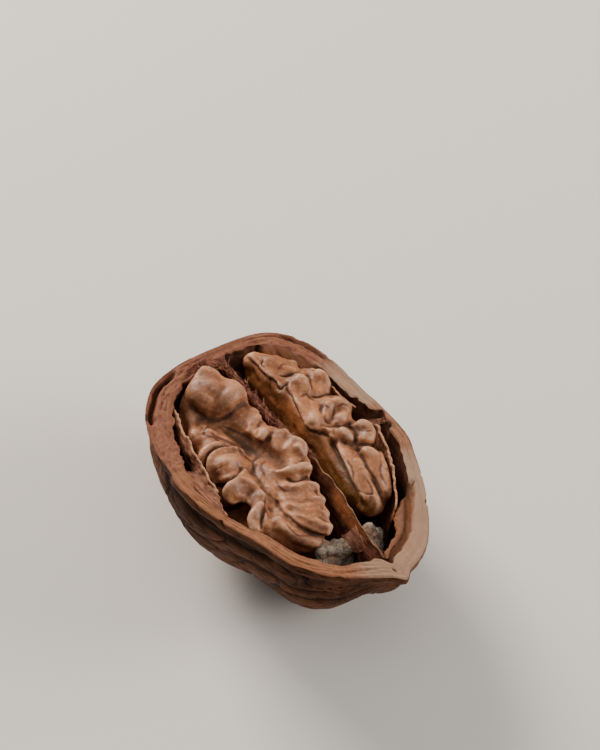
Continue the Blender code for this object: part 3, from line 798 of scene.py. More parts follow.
    def rim_relief(self, phi: Array, inward: Array, width: Array) -> Array:
        """Height of the rim's top face over the plane where the halves met.

        Args:
            phi: headings round the nut in radians.
            inward: distance in from the outline.
            width: the rim's width at each heading.

        Returns:
            Heights in millimetres, at most a little above 0.
        """
        degrees = np.degrees(phi) % 360.0
        arc = phi * self.rim_arc
        coarse = windows(degrees, self.coarse_rim)
        relief = np.zeros_like(phi)
        for pattern, length, breadth, third, height, more in self.rim_grain:
            relief += (height + more * coarse) * noise_over(pattern, arc / length, inward / breadth, third)
        cell, distance = self.crack_waver
        waver = distance * noise_over(Pattern.CRACK_WAVER, arc / cell, octaves=1)
        for stations, breadth, depth in self.cracks:
            table = np.array(sorted((h if h < 300 else h - 360, d) for h, d in stations), float)
            heading = np.where(degrees > 300, degrees - 360, degrees) if table[0, 0] < 0 else degrees
            line = np.interp(heading, table[:, 0], table[:, 1]) + waver
            held = window(heading % 360, table[0, 0] % 360, table[-1, 0] % 360, self.crack_ease)
            relief -= depth * held * hump(inward - line, breadth)
        for off, (depth, breadth) in zip((inward, width - inward), self.rim_edges):
            relief -= depth * hump(off, breadth)
        return relief - self.step_drop * self.inner_layer(phi, inward)

    def inner_layer(self, phi: Array, inward: Array) -> Array:
        """Where the rim shows its lower, inner layer.

        Args:
            phi: headings round the nut in radians.
            inward: distance in from the outline.

        Returns:
            0 to 1.
        """
        table = np.array(self.step_line, float)
        # Headings from -90 to 270, so that the ones beside the tip follow each other
        heading = (np.degrees(phi) + 90) % 360.0 - 90
        cell, distance = self.step_tear
        line = np.interp(heading, table[:, 0], table[:, 1])
        line = line + distance * noise_over(Pattern.STEP_EDGE, phi * self.rim_arc / cell)
        held = smoothstep((heading - table[0, 0]) / self.step_ease)
        held *= smoothstep((table[-1, 0] - heading) / self.step_ease)
        return held * smoothstep((inward - line) / self.step_width)

    def suture(self, points: Array) -> Array:
        """The crack along the seam of the two halves at the tip.

        Args:
            points: places on the rim.

        Returns:
            0 to 1.
        """
        x, (distance, turns), (end, fade) = points[:, 0], self.suture_waver, self.suture_end
        line = self.suture_y + distance * np.sin(turns * x)
        held = sum(strength * smoothstep((x - start) / over) for start, over, strength in self.suture_rise)
        return held * smoothstep((end - x) / fade) * hump(points[:, 1] - line, self.suture_width)

    def ragged_edge(self, phi: Array) -> Array:
        """How far the rim's inner edge stands in, or is broken back where negative."""
        degrees = np.degrees(phi) % 360.0
        rough = self.edge_rough + windows(degrees, self.rough_edge)
        break_up = noise_over(Pattern.BROKEN_EDGE, phi * self.edge_arc / self.edge_cell, octaves=4)
        return rough * break_up - windows(degrees, self.bites)

    def strip_reach(self, phi: Array, drop: Array) -> Array:
        """How far the inner wall juts in, for the second strips.

        Args:
            phi: headings round the nut in radians.
            drop: how far below the rim.

        Returns:
            Distances in millimetres.
        """
        degrees = np.degrees(phi) % 360.0
        cell, share = self.strip_wave
        wave = 1 + share * noise_over(Pattern.STRIP_WAVE, phi * self.wall_arc, drop / cell)
        reach = np.zeros_like(phi)
        for start, end, jut, down, ease in self.strips:
            rise = smoothstep(drop / down) * smoothstep(1 - (drop - down) / self.strip_fall)
            reach += jut * wave * window(degrees, start, end, ease) * rise
        return reach

    def outer_face(self, phi: Array, ring: Array) -> tuple:
        """The outside: bowl, keel, grooves, furrows and uneven wood.

        Args:
            phi: headings round the nut in radians.
            ring: rings from the bottom, up the outside.

        Returns:
            The points, and how dark the hollows in them are.
        """
        form = self.form
        tau = math.pi / 2 * np.clip(1 - ring / self.outer_rings, 0, 1) ** self.crowding
        outer = form.bowl(phi, tau, np.zeros_like(phi), form.depth)
        bulge = outer / np.array(self.egg) ** 2
        bulge[:, 2] *= smoothstep(tau / 0.25)
        bulge /= np.maximum(np.linalg.norm(bulge, axis=1), TINY)[:, None]
        keel = form.keel_height * smoothstep(1.5 + outer[:, 2] / form.keel_width)
        grooves, furrows = self.groove_depths(outer), self.furrows(outer)
        uneven = self.swell * rough_noise(outer / np.array(self.swell_cells), Pattern.WOOD_SWELL)
        uneven += self.dent * cell_noise(outer / self.dent_cell, Pattern.WOOD_DENTS)
        uneven *= smoothstep(tau / 0.3) * smoothstep((self.furrow_end - np.abs(outer[:, 0])) / 3.0)
        height, half, depth = self.below_keel
        hollow = hump(outer[:, 2] - height, half) * smoothstep((20.0 - outer[:, 0]) / 3.0)
        outward = keel - grooves - self.furrow_depth * furrows - depth * hollow
        outward += np.minimum(uneven, self.uneven_most)
        # Painted shade: darker where the grooves are deeper, along the furrows and in the hollow below the keel
        dark = np.clip(grooves / 0.5 + 1.1 * furrows + 0.5 * hollow, 0, 1)
        return outer + bulge * outward[:, None], dark

    def inner_face(self, phi: Array, ring: Array) -> tuple:
        """The inside: wall, broken edge, second strips, soft ribs and crust.

        Args:
            phi: headings round the nut in radians.
            ring: rings from the bottom, up the outside and down the inside.

        Returns:
            The points, and where the strips show bare wood, strongest on the lit stretches as painted light.
        """
        form = self.form
        tau = np.clip((ring - self.outer_rings - self.rim_rings) / self.inner_rings, 0, 1)
        tau = math.pi / 2 * tau**self.crowding
        degrees = np.degrees(phi) % 360.0
        drop = (form.depth - form.floor_wall) * np.sin(tau) ** (2 / form.fullness(phi))
        strip = self.strip_reach(phi, drop)
        wall = form.wall_at(phi, tau) + self.ragged_edge(phi) * smoothstep(1 - drop / self.edge_reach) + strip
        height, count, bend, bends = self.inner_ribs
        wall = wall + height * np.sin(count * phi + bend * np.sin(bends * tau)) * np.sin(2 * tau)
        crusty = window(degrees, *self.crusty) * smoothstep(1 - drop / self.crust_reach)
        crust = noise_over(Pattern.INNER_CRUST, phi * self.crust_arc, drop / self.crust_cell, octaves=4)
        wall = wall + self.crust_height * crusty * crust
        # The strips' bare wood shows most on the lit stretches: painted light
        lit = np.maximum(*(strength * window(degrees, *where) for *where, strength in self.lit_strips))
        bare_and_lit = np.clip(strip / 0.7, 0, 1) * smoothstep(1 - (drop - 0.9) / 0.9)
        bare_and_lit *= (ring > self.outer_rings + self.rim_rings - 2) * (0.2 + 0.8 * lit)
        return form.bowl(phi, tau, wall, form.depth - form.floor_wall), bare_and_lit

    def build(self) -> Piece:
        """Shapes the shell from a sphere whose upper half is folded down inside the lower.

        Returns:
            The shell, with the values that its finish reads.
        """
        form, rings = self.form, self.outer_rings + self.rim_rings + self.inner_rings
        clear_selection()
        bpy.ops.mesh.primitive_uv_sphere_add(segments=self.headings, ring_count=rings, radius=1.0)
        obj = bpy.context.object
        obj.name = obj.data.name = "woody_shell"
        sphere = points_of(obj)
        phi = np.arctan2(sphere[:, 1], sphere[:, 0])
        ring = rings * (1 - np.arccos(np.clip(sphere[:, 2], -1, 1)) / math.pi)
        outer, dark = self.outer_face(phi, ring)
        inner, bare_and_lit = self.inner_face(phi, ring)

        # The rim's rings span from the outside's last to the inside's first
        first, last = self.outer_rings, self.outer_rings + self.rim_rings
        across = outer + (inner - outer) * np.clip((ring - first) / self.rim_rings, 0, 1)[:, None]
        on_rim = (ring > first + 0.5) & (ring < last - 0.5)
        points = np.where((ring <= first + 0.5)[:, None], outer, inner)
        points[on_rim] = across[on_rim]

        flat = form.bowl(phi, phi * 0, phi * 0, 1.0)
        inward = np.hypot(flat[:, 0], flat[:, 1]) + form.keel_height - np.hypot(points[:, 0], points[:, 1])
        width = form.keel_height + form.wall_at(phi, np.zeros_like(phi)) + self.ragged_edge(phi)
        edge = (ring > first - 0.5) & (ring < last + 0.5)
        seam = self.suture(points) * edge
        wave = sum(height * np.sin(count * phi + phase) for height, count, phase in self.rim_waves)
        relief = np.minimum(self.rim_relief(phi, inward, width), self.rim_relief_most)
        points[:, 2] += wave * smoothstep(1 + points[:, 2] / self.rim_wave_reach)
        points[:, 2] += np.where(edge, relief - self.suture_depth * seam, 0.0)
        set_points(obj, points)

        degrees = np.degrees(phi) % 360.0
        from_middle = np.abs(ring - first - self.rim_rings / 2) / (self.rim_rings / 2 + 1)
        shaded = np.clip(hollowness(obj, 14) / 0.22, 0, 1) * (1 - 0.45 * edge)
        for name, values in {
            # Painted shade of the outside's grooves, furrows and the hollow below the keel
            "groove": dark * (ring < first - 0.5),
            "rim": smoothstep(1.1 - 0.7 * from_middle) * edge,
            "inside": smoothstep((ring - last + 1) / 3) * (1 - bare_and_lit),
            "fresh": np.clip(windows(degrees, self.fresh_rim), 0, 1) * edge,
            # Bare strip wood, painted lighter on the lit stretches as painted light, and the rim's inner layer
            "strip": np.maximum(bare_and_lit, self.inner_layer(phi, inward) * edge),
            "raw": np.clip(windows(degrees, self.torn_rim), 0, 1) * edge,
            "hollow": np.clip(shaded + 0.8 * seam, 0, 1),
        }.items():
            paint(obj, name, values)
        return obj


class Side(Enum):
    """Which side of the partition a piece lies on, as the sign of Y."""

    LEFT = -1
    RIGHT = 1


@dataclass
class PaperyLining:
    """A scrap of the shell's papery lining that stands a little off the wall."""

    form: NutForm
    name: str
    node: str
    # Its course (x, y), the heights of its top edge, how far it reaches down and leans in there
    edge: tuple
    top: tuple
    reach: float
    lean: float
    thick: float = 0.22
    rag: float = 0.3
    seed: int = 1
    # How far it crumples and its top edge curls, and how near it comes to the shell
    crumple: float = 0.22
    curl: float = 0.35
    off_shell: float = 0.15

    def middle(self, x: Array, z: Array) -> Array:
        """Where the plain sheet lies across the nut, kept off the shell.

        Args:
            x: places along the nut.
            z: heights.

        Returns:
            Places across it.
        """
        edge = curve_through(self.edge, 6)
        down = np.clip(-z / self.reach, 0, 1)
        y = np.interp(x, edge[:, 0], edge[:, 1]) + self.lean * down**2
        return self.form.kept_inside(np.stack([x, y, z], axis=-1), self.form.gap + 0.6)[:, 1]

    def build(self) -> Piece:
        """Bends a grid into a crumpled sheet with a ragged top edge and gives it its thickness.

        Returns:
            The sheet.
        """
        obj = new_grid(self.name, 150, 50)
        grid = points_of(obj)
        edge = curve_through(self.edge, 8)
        tops = np.interp(np.linspace(0, 1, len(edge)), np.linspace(0, 1, len(self.top)), self.top)
        along = (grid[:, 0] + 1) / 2 * (len(edge) - 1)
        steps = np.arange(len(edge))
        x, y = np.interp(along, steps, edge[:, 0]), np.interp(along, steps, edge[:, 1])
        torn = self.rag * noise_over(self.seed, x / 0.9, octaves=4)
        top = np.interp(along, steps, tops) + torn
        down = 1 - (grid[:, 1] + 1) / 2
        z = top - (self.reach + torn) * down
        crumple = self.crumple * noise_over(self.seed + 5, x / 2.2, z / 1.6)
        curl = self.curl * hump(down, 0.12) * math.copysign(1, self.lean)
        points = np.stack([x, y + self.lean * down**2 + crumple + curl, z], axis=-1)
        set_points(obj, self.form.kept_inside(points, self.off_shell))
        paint(obj, "tip", hump(down, 0.05))
        finish_modifier(obj, "SOLIDIFY", thickness=self.thick, offset=0.0)
        return obj


@dataclass
class KernelLobe:
    """One lobe of the kernel: folds standing out of a core, all one skin."""

    form: NutForm
    side: Side
    name: str
    node: str
    folds: dict
    cores: tuple
    seed: int
    lining: PaperyLining
    wall_line: tuple = ()
    ridges: tuple = ()
    grooves: tuple = ()
    pits: tuple = ()
    veins: tuple = ()
    # Grain of the skin that joins the balls and of the finished one, in millimetres
    joining_voxel: float = 0.24
    voxel: float = 0.15
    # How much the traced ridges are raised, the dark lines widened and the veins sunk
    ridge_gain: float = 1.1
    fine_gain: float = 1.8
    vein_depth: float = 0.03
    # Rounds of drawing in that tell the broad hollows and the near ones
    hollow_rounds: tuple = (90, 16)
    # Grooves narrower than this are dark lines; the rest are open valleys
    fine_reach: float = 0.45
    # Folds are joined this much fatter and drawn in again, which rounds out the clefts between them
    fillet: float = 0.7
    under_folds: int = 11
    under_radius: float = 2.1

    def under_side(self) -> list:
        """Balls of the folds that face the shell.

        Returns:
            The balls, as new_balls takes them.
        """
        draw = random.Random(self.seed)
        centre, half = (np.array(v, float) for v in self.cores[0])
        balls = []
        for k in range(self.under_folds):
            for row, lean in enumerate((-0.9, -0.3, 0.3, 0.9)):
                along = -0.85 + 1.7 * (k + 0.5 * (row % 2)) / (self.under_folds - 0.5)
                along += draw.uniform(-0.04, 0.04)
                ring = math.sqrt(max(0.0, 1 - along**2))
                angle = lean + draw.uniform(-0.12, 0.12)
                spot = centre + half * np.array([along, ring * math.sin(angle), -ring * math.cos(angle)])
                balls.append((spot, (self.under_radius * draw.uniform(0.8, 1.15),) * 3, 2))
        return balls

    def kept_clear(self, points: Array) -> Array:
        """Keeps points off the shell, the partition and the lining on that side.

        Args:
            points: rows of coordinates in the nut's frame.

        Returns:
            Their new places.
        """
        form, side = self.form, self.side.value
        points = form.kept_inside(points, form.gap + 0.1)
        x, z = points[:, 0], points[:, 2]
        line, top = form.partition_at(x)
        over_top = np.clip(z - top - form.gap, 0.0, 1.2)
        middle = line + side * (form.partition_half + form.gap - over_top)
        points[:, 1] = side * np.maximum(side * points[:, 1], side * middle)
        if self.wall_line:
            wall = curve_through(self.wall_line, 6)
            points[:, 1] = np.maximum(points[:, 1], np.interp(x, wall[:, 0], wall[:, 1]))
        limit = side * self.lining.middle(x, z) - 0.3 - form.gap
        first, last = self.lining.edge[0][0], self.lining.edge[-1][0]
        beside = smoothstep(x - first + 1.6) * smoothstep(last + 1.6 - x)
        beside *= smoothstep(z + self.lining.reach + 1.6)
        points[:, 1] -= side * np.clip(side * points[:, 1] - limit, 0, None) * beside
        return points

    def build(self) -> Piece:
        """Joins the balls under one skin, smooths it and sculpts the creases and veins in it.

        Returns:
            The lobe, with the values that its finish reads.
        """
        balls = [(np.array(c, float), h, 4) for c, h in self.cores] + self.under_side()
        for stations in self.folds.values():
            balls += balls_along(stations)
        balls = [(centre, tuple(np.array(half) + self.fillet), turns) for centre, half, turns in balls]
        obj = new_balls(self.name, balls)
        finish_modifier(obj, "REMESH", mode="VOXEL", voxel_size=self.joining_voxel)
        finish_modifier(obj, "SMOOTH", factor=0.5, iterations=5)
        for _ in range(4):
            set_points(obj, points_of(obj) - normals_of(obj) * self.fillet / 4)
            finish_modifier(obj, "SMOOTH", factor=0.5, iterations=2)
        points, normals = points_of(obj), normals_of(obj)
        raised = self.ridge_gain * strokes_mask(points, self.ridges) - strokes_mask(points, self.pits)
        set_points(obj, points + normals * raised[:, None])
        finish_modifier(obj, "REMESH", mode="VOXEL", voxel_size=self.voxel)
        finish_modifier(obj, "SMOOTH", factor=0.5, iterations=5)
        points, normals = self.kept_clear(points_of(obj)), normals_of(obj)
        uneven = 1 + 0.35 * cell_noise(points / 1.3, self.seed + 7)
        fine = tuple((self.fine_gain * g[0], *g[1:]) for g in self.grooves if g[0] < self.fine_reach)
        line = strokes_mask(points, fine, 0.0) * uneven
        valley = strokes_mask(points, tuple(g for g in self.grooves if g[0] >= self.fine_reach))
        vein = strokes_mask(points, self.veins, 0.4)
        swell = 0.035 * cell_noise(points / 1.7, self.seed) + 0.02 * cell_noise(points / 0.55, self.seed + 3)
        outward = swell - line - valley - self.vein_depth * vein
        set_points(obj, self.kept_clear(points + normals * outward[:, None]))
        finish_modifier(obj, "SMOOTH", factor=0.5, iterations=1)
        broad, near = (hollowness(obj, rounds) for rounds in self.hollow_rounds)
        # Painted shade for the clefts and grooves
        paint(obj, "hollow", np.clip(broad / 1.1 + near / 0.17 + 1.6 * line + 0.25 * valley, 0, 1))
        # Painted highlight for the crests of the folds
        paint(obj, "crown", np.clip(-broad / 0.45, 0, 1))
        paint(obj, "vein", np.clip(vein, 0, 1))
        paint(obj, "wall", self.amber(points, normals))
        return obj

    def amber(self, points: Array, normals: Array) -> Array:
        """Where the smooth wall shows that the lobe turns to the partition.

        Args:
            points: the lobe's points.
            normals: its outward directions there.

        Returns:
            0 to 1.
        """
        if not self.wall_line:
            return np.zeros(len(points))
        facing = smoothstep((-normals[:, 1] - 0.45) / 0.35)
        return facing * smoothstep((-points[:, 2] - 0.2) / 1.2)


@dataclass
class Partition:
    """The papery wall between the lobes: crumbly and thick at the stalk end, thin at the tip."""

    form: NutForm
    start: float = -18.6
    end: float = 18.6

    def build(self) -> Piece:
        """Bends a walled grid into the partition, its top edge torn.

        Returns:
            The partition, with the values that its finish reads.
        """
        obj = new_grid("partition_wall", 340, 46)
        count = len(obj.data.vertices)
        finish_modifier(obj, "SOLIDIFY", thickness=0.02, offset=0.0)
        grid = points_of(obj)
        face = np.where(np.arange(len(grid)) < count, 1.0, -1.0)
        x = self.start + (np.clip(grid[:, 0], -1, 1) + 1) / 2 * (self.end - self.start)
        up = (np.clip(grid[:, 1], -1, 1) + 1) / 2
        line, top = self.form.partition_at(x)
        crumbly = smoothstep((0.5 - x) / 5.0)
        tear = noise_over(Pattern.PARTITION_TEAR, x / 0.8, octaves=4)
        top = top + (0.07 + 0.26 * crumbly) * tear + 0.12 * np.sin(2.1 * x)
        top = top - 0.9 * smoothstep((x - 17.0) / 1.6)
        bottom = np.minimum(self.form.floor_under(x, line) - 0.3, top - 0.8)
        z = bottom + (top - bottom) * up**0.8
        drop = top - z
        half = 0.07 + 0.28 * smoothstep(drop / 2.5) + 0.33 * crumbly * hump(drop, 1.6)
        half *= smoothstep(drop / 0.12 + 0.25)
        crumbs = noise_over(Pattern.PARTITION_CRUMB, x / 0.45, z / 0.3, face * 3, octaves=4)
        half += np.clip(0.11 * crumbly * crumbs, -0.12, 0.25) * smoothstep(drop / 0.2)
        y = line + 0.16 * noise_over(Pattern.PARTITION_BEND, x / 2.5, z / 2.2) + face * half
        set_points(obj, np.stack([x, y, z], axis=-1))
        paint(obj, "tip", hump(drop, 0.16) * (1 - crumbly))
        paint(obj, "crumbly", crumbly)
        paint(obj, "amber", smoothstep((x - 3.0) / 4.0) * smoothstep((14.5 - x) / 3.0)
              * smoothstep(drop / 0.6) * smoothstep((3.4 - drop) / 1.5))
        bpy.ops.object.mode_set(mode="EDIT")
        bpy.ops.mesh.select_all(action="SELECT")
        bpy.ops.mesh.normals_make_consistent(inside=False)
        bpy.ops.object.mode_set(mode="OBJECT")
        return obj


@dataclass
class SpongyTissue:
    """A lump of pale packing tissue against the partition."""

    name: str
    node: str
    # (x, y, z, radius) along it
    stations: tuple
    seed: int

    def build(self) -> Piece:
        """Joins balls under one skin and pits it like a sponge.

        Returns:
            The lump, with the value that its finish reads.
        """
        obj = new_balls(self.name, balls_along(self.stations))
        finish_modifier(obj, "REMESH", mode="VOXEL", voxel_size=0.11)
        finish_modifier(obj, "SMOOTH", factor=0.5, iterations=16)
        points, normals = points_of(obj), normals_of(obj)
        lumps = rough_noise(points / 1.3, self.seed, 4)
        pits = np.clip(cell_noise(points / 0.30, self.seed + 7), 0, 1)
        pits += np.clip(cell_noise(points / 0.7, self.seed), 0, 1)
        set_points(obj, points + normals * (0.12 * lumps - 0.09 * pits)[:, None])
        # Painted shade for the pits
        paint(obj, "hollow", np.clip(hollowness(obj, 14) / 0.12, 0, 1))
        return obj


@dataclass
class Fibres:
    """Loose fibres of woody tissue along a torn edge, all in one mesh."""

    name: str
    # Where they grow: (x, y, z) points; how many; shortest and longest; how far off the path
    path: tuple
    count: int
    length: tuple
    spread: tuple
    thick: float
    seed: int
    # How far a fibre bends aside, as a share of its length
    droop: float = 0.25

    def build(self) -> Piece:
        """Draws each fibre as a short bent curve near the path, then makes one mesh of them.

        Returns:
            The fibres.
        """
        draw = random.Random(self.seed)
        path = curve_through(self.path, 10)
        shape = bpy.data.curves.new(self.name, "CURVE")
        shape.dimensions = "3D"
        shape.bevel_depth = self.thick / 2
        shape.bevel_resolution = 0
        shape.use_fill_caps = True
        for _ in range(self.count):
            k = draw.randrange(1, len(path) - 1)
            run = path[k + 1] - path[k - 1]
            run /= np.linalg.norm(run)
            long = draw.uniform(*self.length)
            start = path[k] + np.array([draw.uniform(-s, s) for s in self.spread])
            turn = np.array([draw.uniform(-0.5, 0.5), draw.uniform(-0.5, 0.5), draw.uniform(-0.25, 0.3)])
            heading = run * draw.choice((-1, 1)) + turn
            heading /= np.linalg.norm(heading)
            side = np.array([draw.uniform(-1, 1), draw.uniform(-1, 1), draw.uniform(-0.6, 0.4)])
            strand = shape.splines.new("POLY")
            strand.points.add(4)
            for step, point in enumerate(strand.points):
                t = step / 4
                at = start + heading * long * t + side * self.droop * long * t * t
                point.co = (*at, 1.0)
                point.radius = 1.0 - 0.75 * t
        obj = bpy.data.objects.new(self.name, shape)
        bpy.context.scene.collection.objects.link(obj)
        pick(obj)
        bpy.ops.object.convert(target="MESH")
        obj.data.name = self.name
        return obj


@dataclass
class LiningShelf:
    """A crumpled flap of lining between two lines, such as the rim's inner edge and a torn edge."""

    name: str
    outer_line: tuple
    inner_line: tuple
    # How far it sags, its thickness, how far its inner edge is torn, and its pattern
    sag: float
    thick: float
    rag: float
    seed: int

    def build(self) -> Piece:
        """Stretches a grid between the lines, sags and crumples it and gives it its thickness.

        Returns:
            The flap.
        """
        obj = new_grid(self.name, 120, 40)
        grid = points_of(obj)
        along, across = (grid[:, 0] + 1) / 2, (grid[:, 1] + 1) / 2
        outer, inner = curve_through(self.outer_line, 10), curve_through(self.inner_line, 10)
        ends = []
        for path in (outer, inner):
            at, steps = along * (len(path) - 1), np.arange(len(path))
            ends.append(np.stack([np.interp(at, steps, path[:, k]) for k in range(3)], axis=1))
        length = np.linalg.norm(np.diff(outer, axis=0), axis=1).sum()
        torn = self.rag * noise_over(self.seed, along * length / 0.8)
        span = ends[1] - ends[0]
        width = np.maximum(np.linalg.norm(span, axis=1), 1e-6)
        points = ends[0] + span * (across * (1 + torn / width * across))[:, None]
        points[:, 2] -= self.sag * np.sin(math.pi * np.clip(across, 0, 1)) * np.clip(width / 2, 0, 1)
        crumple = 0.12 * noise_over(self.seed + 4, along * length / 1.5, across * 3)
        points[:, 2] += crumple * smoothstep(across / 0.2)
        set_points(obj, points)
        paint(obj, "tip", smoothstep((across - 0.93) / 0.05))
        finish_modifier(obj, "SOLIDIFY", thickness=self.thick, offset=0.0)
        return obj


# ---- finishes


def shade(colour: str) -> tuple:
    """An sRGB colour such as C8A070 as linear red, green, blue and alpha."""
    parts = [int(colour[k:k + 2], 16) / 255 for k in (0, 2, 4)]
    return (*(c / 12.92 if c <= 0.04045 else ((c + 0.055) / 1.055) ** 2.4 for c in parts), 1.0)


def add_node(tree: Tree, kind: str, settings: dict, links: dict) -> bpy.types.Node:
    """Adds a node to a material.

    Args:
        tree: the material's nodes.
        kind: the node's type.
        settings: its properties by name, values of its inputs by name or number, or the
            "stops" of a ramp as (place, colour) pairs.
        links: for each input, by name or number, the socket that feeds it.

    Returns:
        The node.
    """
    node = tree.nodes.new(kind)
    for name, value in settings.items():
        if name == "stops":
            ramp = node.color_ramp.elements
            while len(ramp) < len(value):
                ramp.new(0.5)
            for stop, (place, colour) in zip(ramp, value):
                stop.position, stop.color = place, shade(colour)
        elif isinstance(name, str) and hasattr(node, name):
            setattr(node, name, value)
        else:
            node.inputs[name].default_value = value
    for name, source in links.items():
        tree.links.new(source, node.inputs[name])
    return node


@dataclass(frozen=True)
class Finish:
    """What all the nut's finishes share: an organic skin, coloured and roughened in layers."""

    name: str
    roughness: float = 0.6

    def start(self) -> tuple:
        """Makes the material.

        Returns:
            The material, its nodes, its shader and its coordinates in millimetres.
        """
        material = bpy.data.materials.new(self.name)
        material.use_nodes = True
        tree = material.node_tree
        shader = tree.nodes["Principled BSDF"]
        shader.inputs["Roughness"].default_value = self.roughness
        place = add_node(tree, "ShaderNodeTexCoord", {}, {})
        metric = add_node(tree, "ShaderNodeMapping", {"Scale": (1 / MM,) * 3}, {0: place.outputs["Object"]})
        return material, tree, shader, metric.outputs[0]

    def pattern(self, tree: Tree, spot: Socket, size: float, stretch: tuple = (1, 1, 1),
                detail: float = 3.0) -> Socket:
        """A pattern of a real size.

        Args:
            tree: the material's nodes.
            spot: coordinates in millimetres.
            size: the size of its grains in millimetres.
            stretch: how many times as long they are along each axis.
            detail: how much finer grain lies on it.

        Returns:
            The pattern, from 0 to 1.
        """
        drawn = add_node(tree, "ShaderNodeMapping", {"Scale": tuple(1 / (size * s) for s in stretch)}, {0: spot})
        made = add_node(tree, "ShaderNodeTexNoise", {"Scale": 1.0, "Detail": detail, "Roughness": 0.55},
                        {"Vector": drawn.outputs[0]})
        return made.outputs["Fac"]

    def share(self, tree: Tree, amount: Socket | str, span: tuple | None) -> Socket:
        """How much of something shows.

        Args:
            tree: the material's nodes.
            amount: a pattern, or the name of a value that the mesh keeps at its points.
            span: (low, high, least, most): low to high becomes least to most. None keeps it.

        Returns:
            The share.
        """
        if isinstance(amount, str):
            amount = add_node(tree, "ShaderNodeAttribute", {"attribute_name": amount}, {}).outputs["Fac"]
        if span is None:
            return amount
        names = ("From Min", "From Max", "To Min", "To Max")
        eased = add_node(tree, "ShaderNodeMapRange", {"interpolation_type": "SMOOTHSTEP", **dict(zip(names, span))},
                         {"Value": amount})
        return eased.outputs["Result"]

    def layers(self, tree: Tree, under: Socket, rows: tuple) -> Socket:
        """Lays colours one over another.

        Args:
            tree: the material's nodes.
            under: the lowest colour.
            rows: for each colour its amount and span, as share takes them, and the colour, then
                where the amount is cut down by a second one, that one's amount and span.

        Returns:
            The colour on top.
        """
        for amount, span, colour, *cut in rows:
            shown = self.share(tree, amount, span)
            if cut:
                shown = add_node(tree, "ShaderNodeMath", {"operation": "MULTIPLY"},
                                 {0: shown, 1: self.share(tree, *cut)}).outputs[0]
            laid = add_node(tree, "ShaderNodeMix", {"data_type": "RGBA", 7: shade(colour)}, {0: shown, 6: under})
            under = laid.outputs[2]
        return under

    def carve(self, tree: Tree, shader: bpy.types.Node, reliefs: tuple) -> None:
        """Gives the surface relief too fine for the mesh.

        Args:
            tree: the material's nodes.
            shader: its shader.
            reliefs: (height, depth in millimetres), coarse ones first.
        """
        links = {}
        for height, depth in reliefs:
            bump = add_node(tree, "ShaderNodeBump", {"Strength": 1.0, "Distance": depth * MM},
                            {"Height": height, **links})
            links = {"Normal": bump.outputs[0]}
        tree.links.new(links["Normal"], shader.inputs["Normal"])


@dataclass(frozen=True)
class WoodyShellFinish(Finish):
    """Walnut shell: stony wood that dried and cracked open, matt, and paler where it is broken.

    The outside is weathered, and painted shade in its grooves, furrows and the hollow below the keel gives dark
    lines along the nut.
    The rim is a fresh break, pale and rough. The inside is stained dark by the husk's juices.
    """

    light: str = "6E442C"
    dark: str = "3B2012"
    streaked: str = "80573C"
    fleck_and_groove_shade: str = "1A0E08"
    shadow: str = "23120A"
    broken: str = "8A5B40"
    fresh: str = "8C7461"
    raw: str = "724635"
    strip: str = "71462C"
    lining: str = "4A2C1E"

    def material(self) -> bpy.types.Material:
        """Streaks of 0.7 mm along the nut, painted shade in the furrows, pale rim and a dark inner face.

        Returns:
            The material.
        """
        material, tree, shader, spot = self.start()
        # Dry wood has next to no gloss
        shader.inputs["Specular IOR Level"].default_value = 0.12
        # Wood fibres are 0.02 mm thick, too fine to show, so the streaks are bundles of them
        streak = self.pattern(tree, spot, 0.7, (9, 1, 1))
        patch = self.pattern(tree, spot, 5.0, (1.6, 1, 1))
        fleck = self.pattern(tree, spot, 0.35, (2.5, 1, 1), 2)
        # Torn fibre ends on the break, drawn at 0.22 mm
        grit = self.pattern(tree, spot, 0.22, (5, 5, 1), 3)
        ramp = add_node(tree, "ShaderNodeValToRGB", {"stops": ((0.32, self.dark), (0.68, self.light))},
                        {"Fac": patch})
        colour = self.layers(tree, ramp.outputs[0], (
            (streak, (0.5, 0.66, 0, 0.75), self.dark),
            (streak, (0.46, 0.28, 0, 0.35), self.streaked),
            (fleck, (0.66, 0.74, 0, 0.6), self.fleck_and_groove_shade),
            # Painted shade in the grooves, furrows and the hollow below the keel
            ("groove", (0.25, 1.1, 0, 0.75), self.fleck_and_groove_shade),
            ("rim", None, self.broken, grit, (0.38, 0.6, 0.72, 1.0)),
            ("fresh", None, self.fresh, patch, (0.3, 0.7, 0.45, 0.95)),
            ("raw", None, self.raw, grit, (0.35, 0.62, 0.35, 1.0)),
            ("inside", (0, 1, 0, 0.93), self.lining),
            ("strip", None, self.strip, grit, (0.3, 0.6, 0.6, 1.0)),
            ("hollow", (0.12, 0.8, 0, 0.9), self.shadow),
        ))
        tree.links.new(colour, shader.inputs["Base Color"])
        # Wrinkles, fibre bundles and grit
        self.carve(tree, shader, (
            (self.pattern(tree, spot, 1.1, (5, 1, 1), 3), 0.22),
            (self.pattern(tree, spot, 0.5, (6, 1, 1), 4), 0.13),
            (self.pattern(tree, spot, 0.16, (2, 1, 1), 2), 0.03),
        ))
        return material


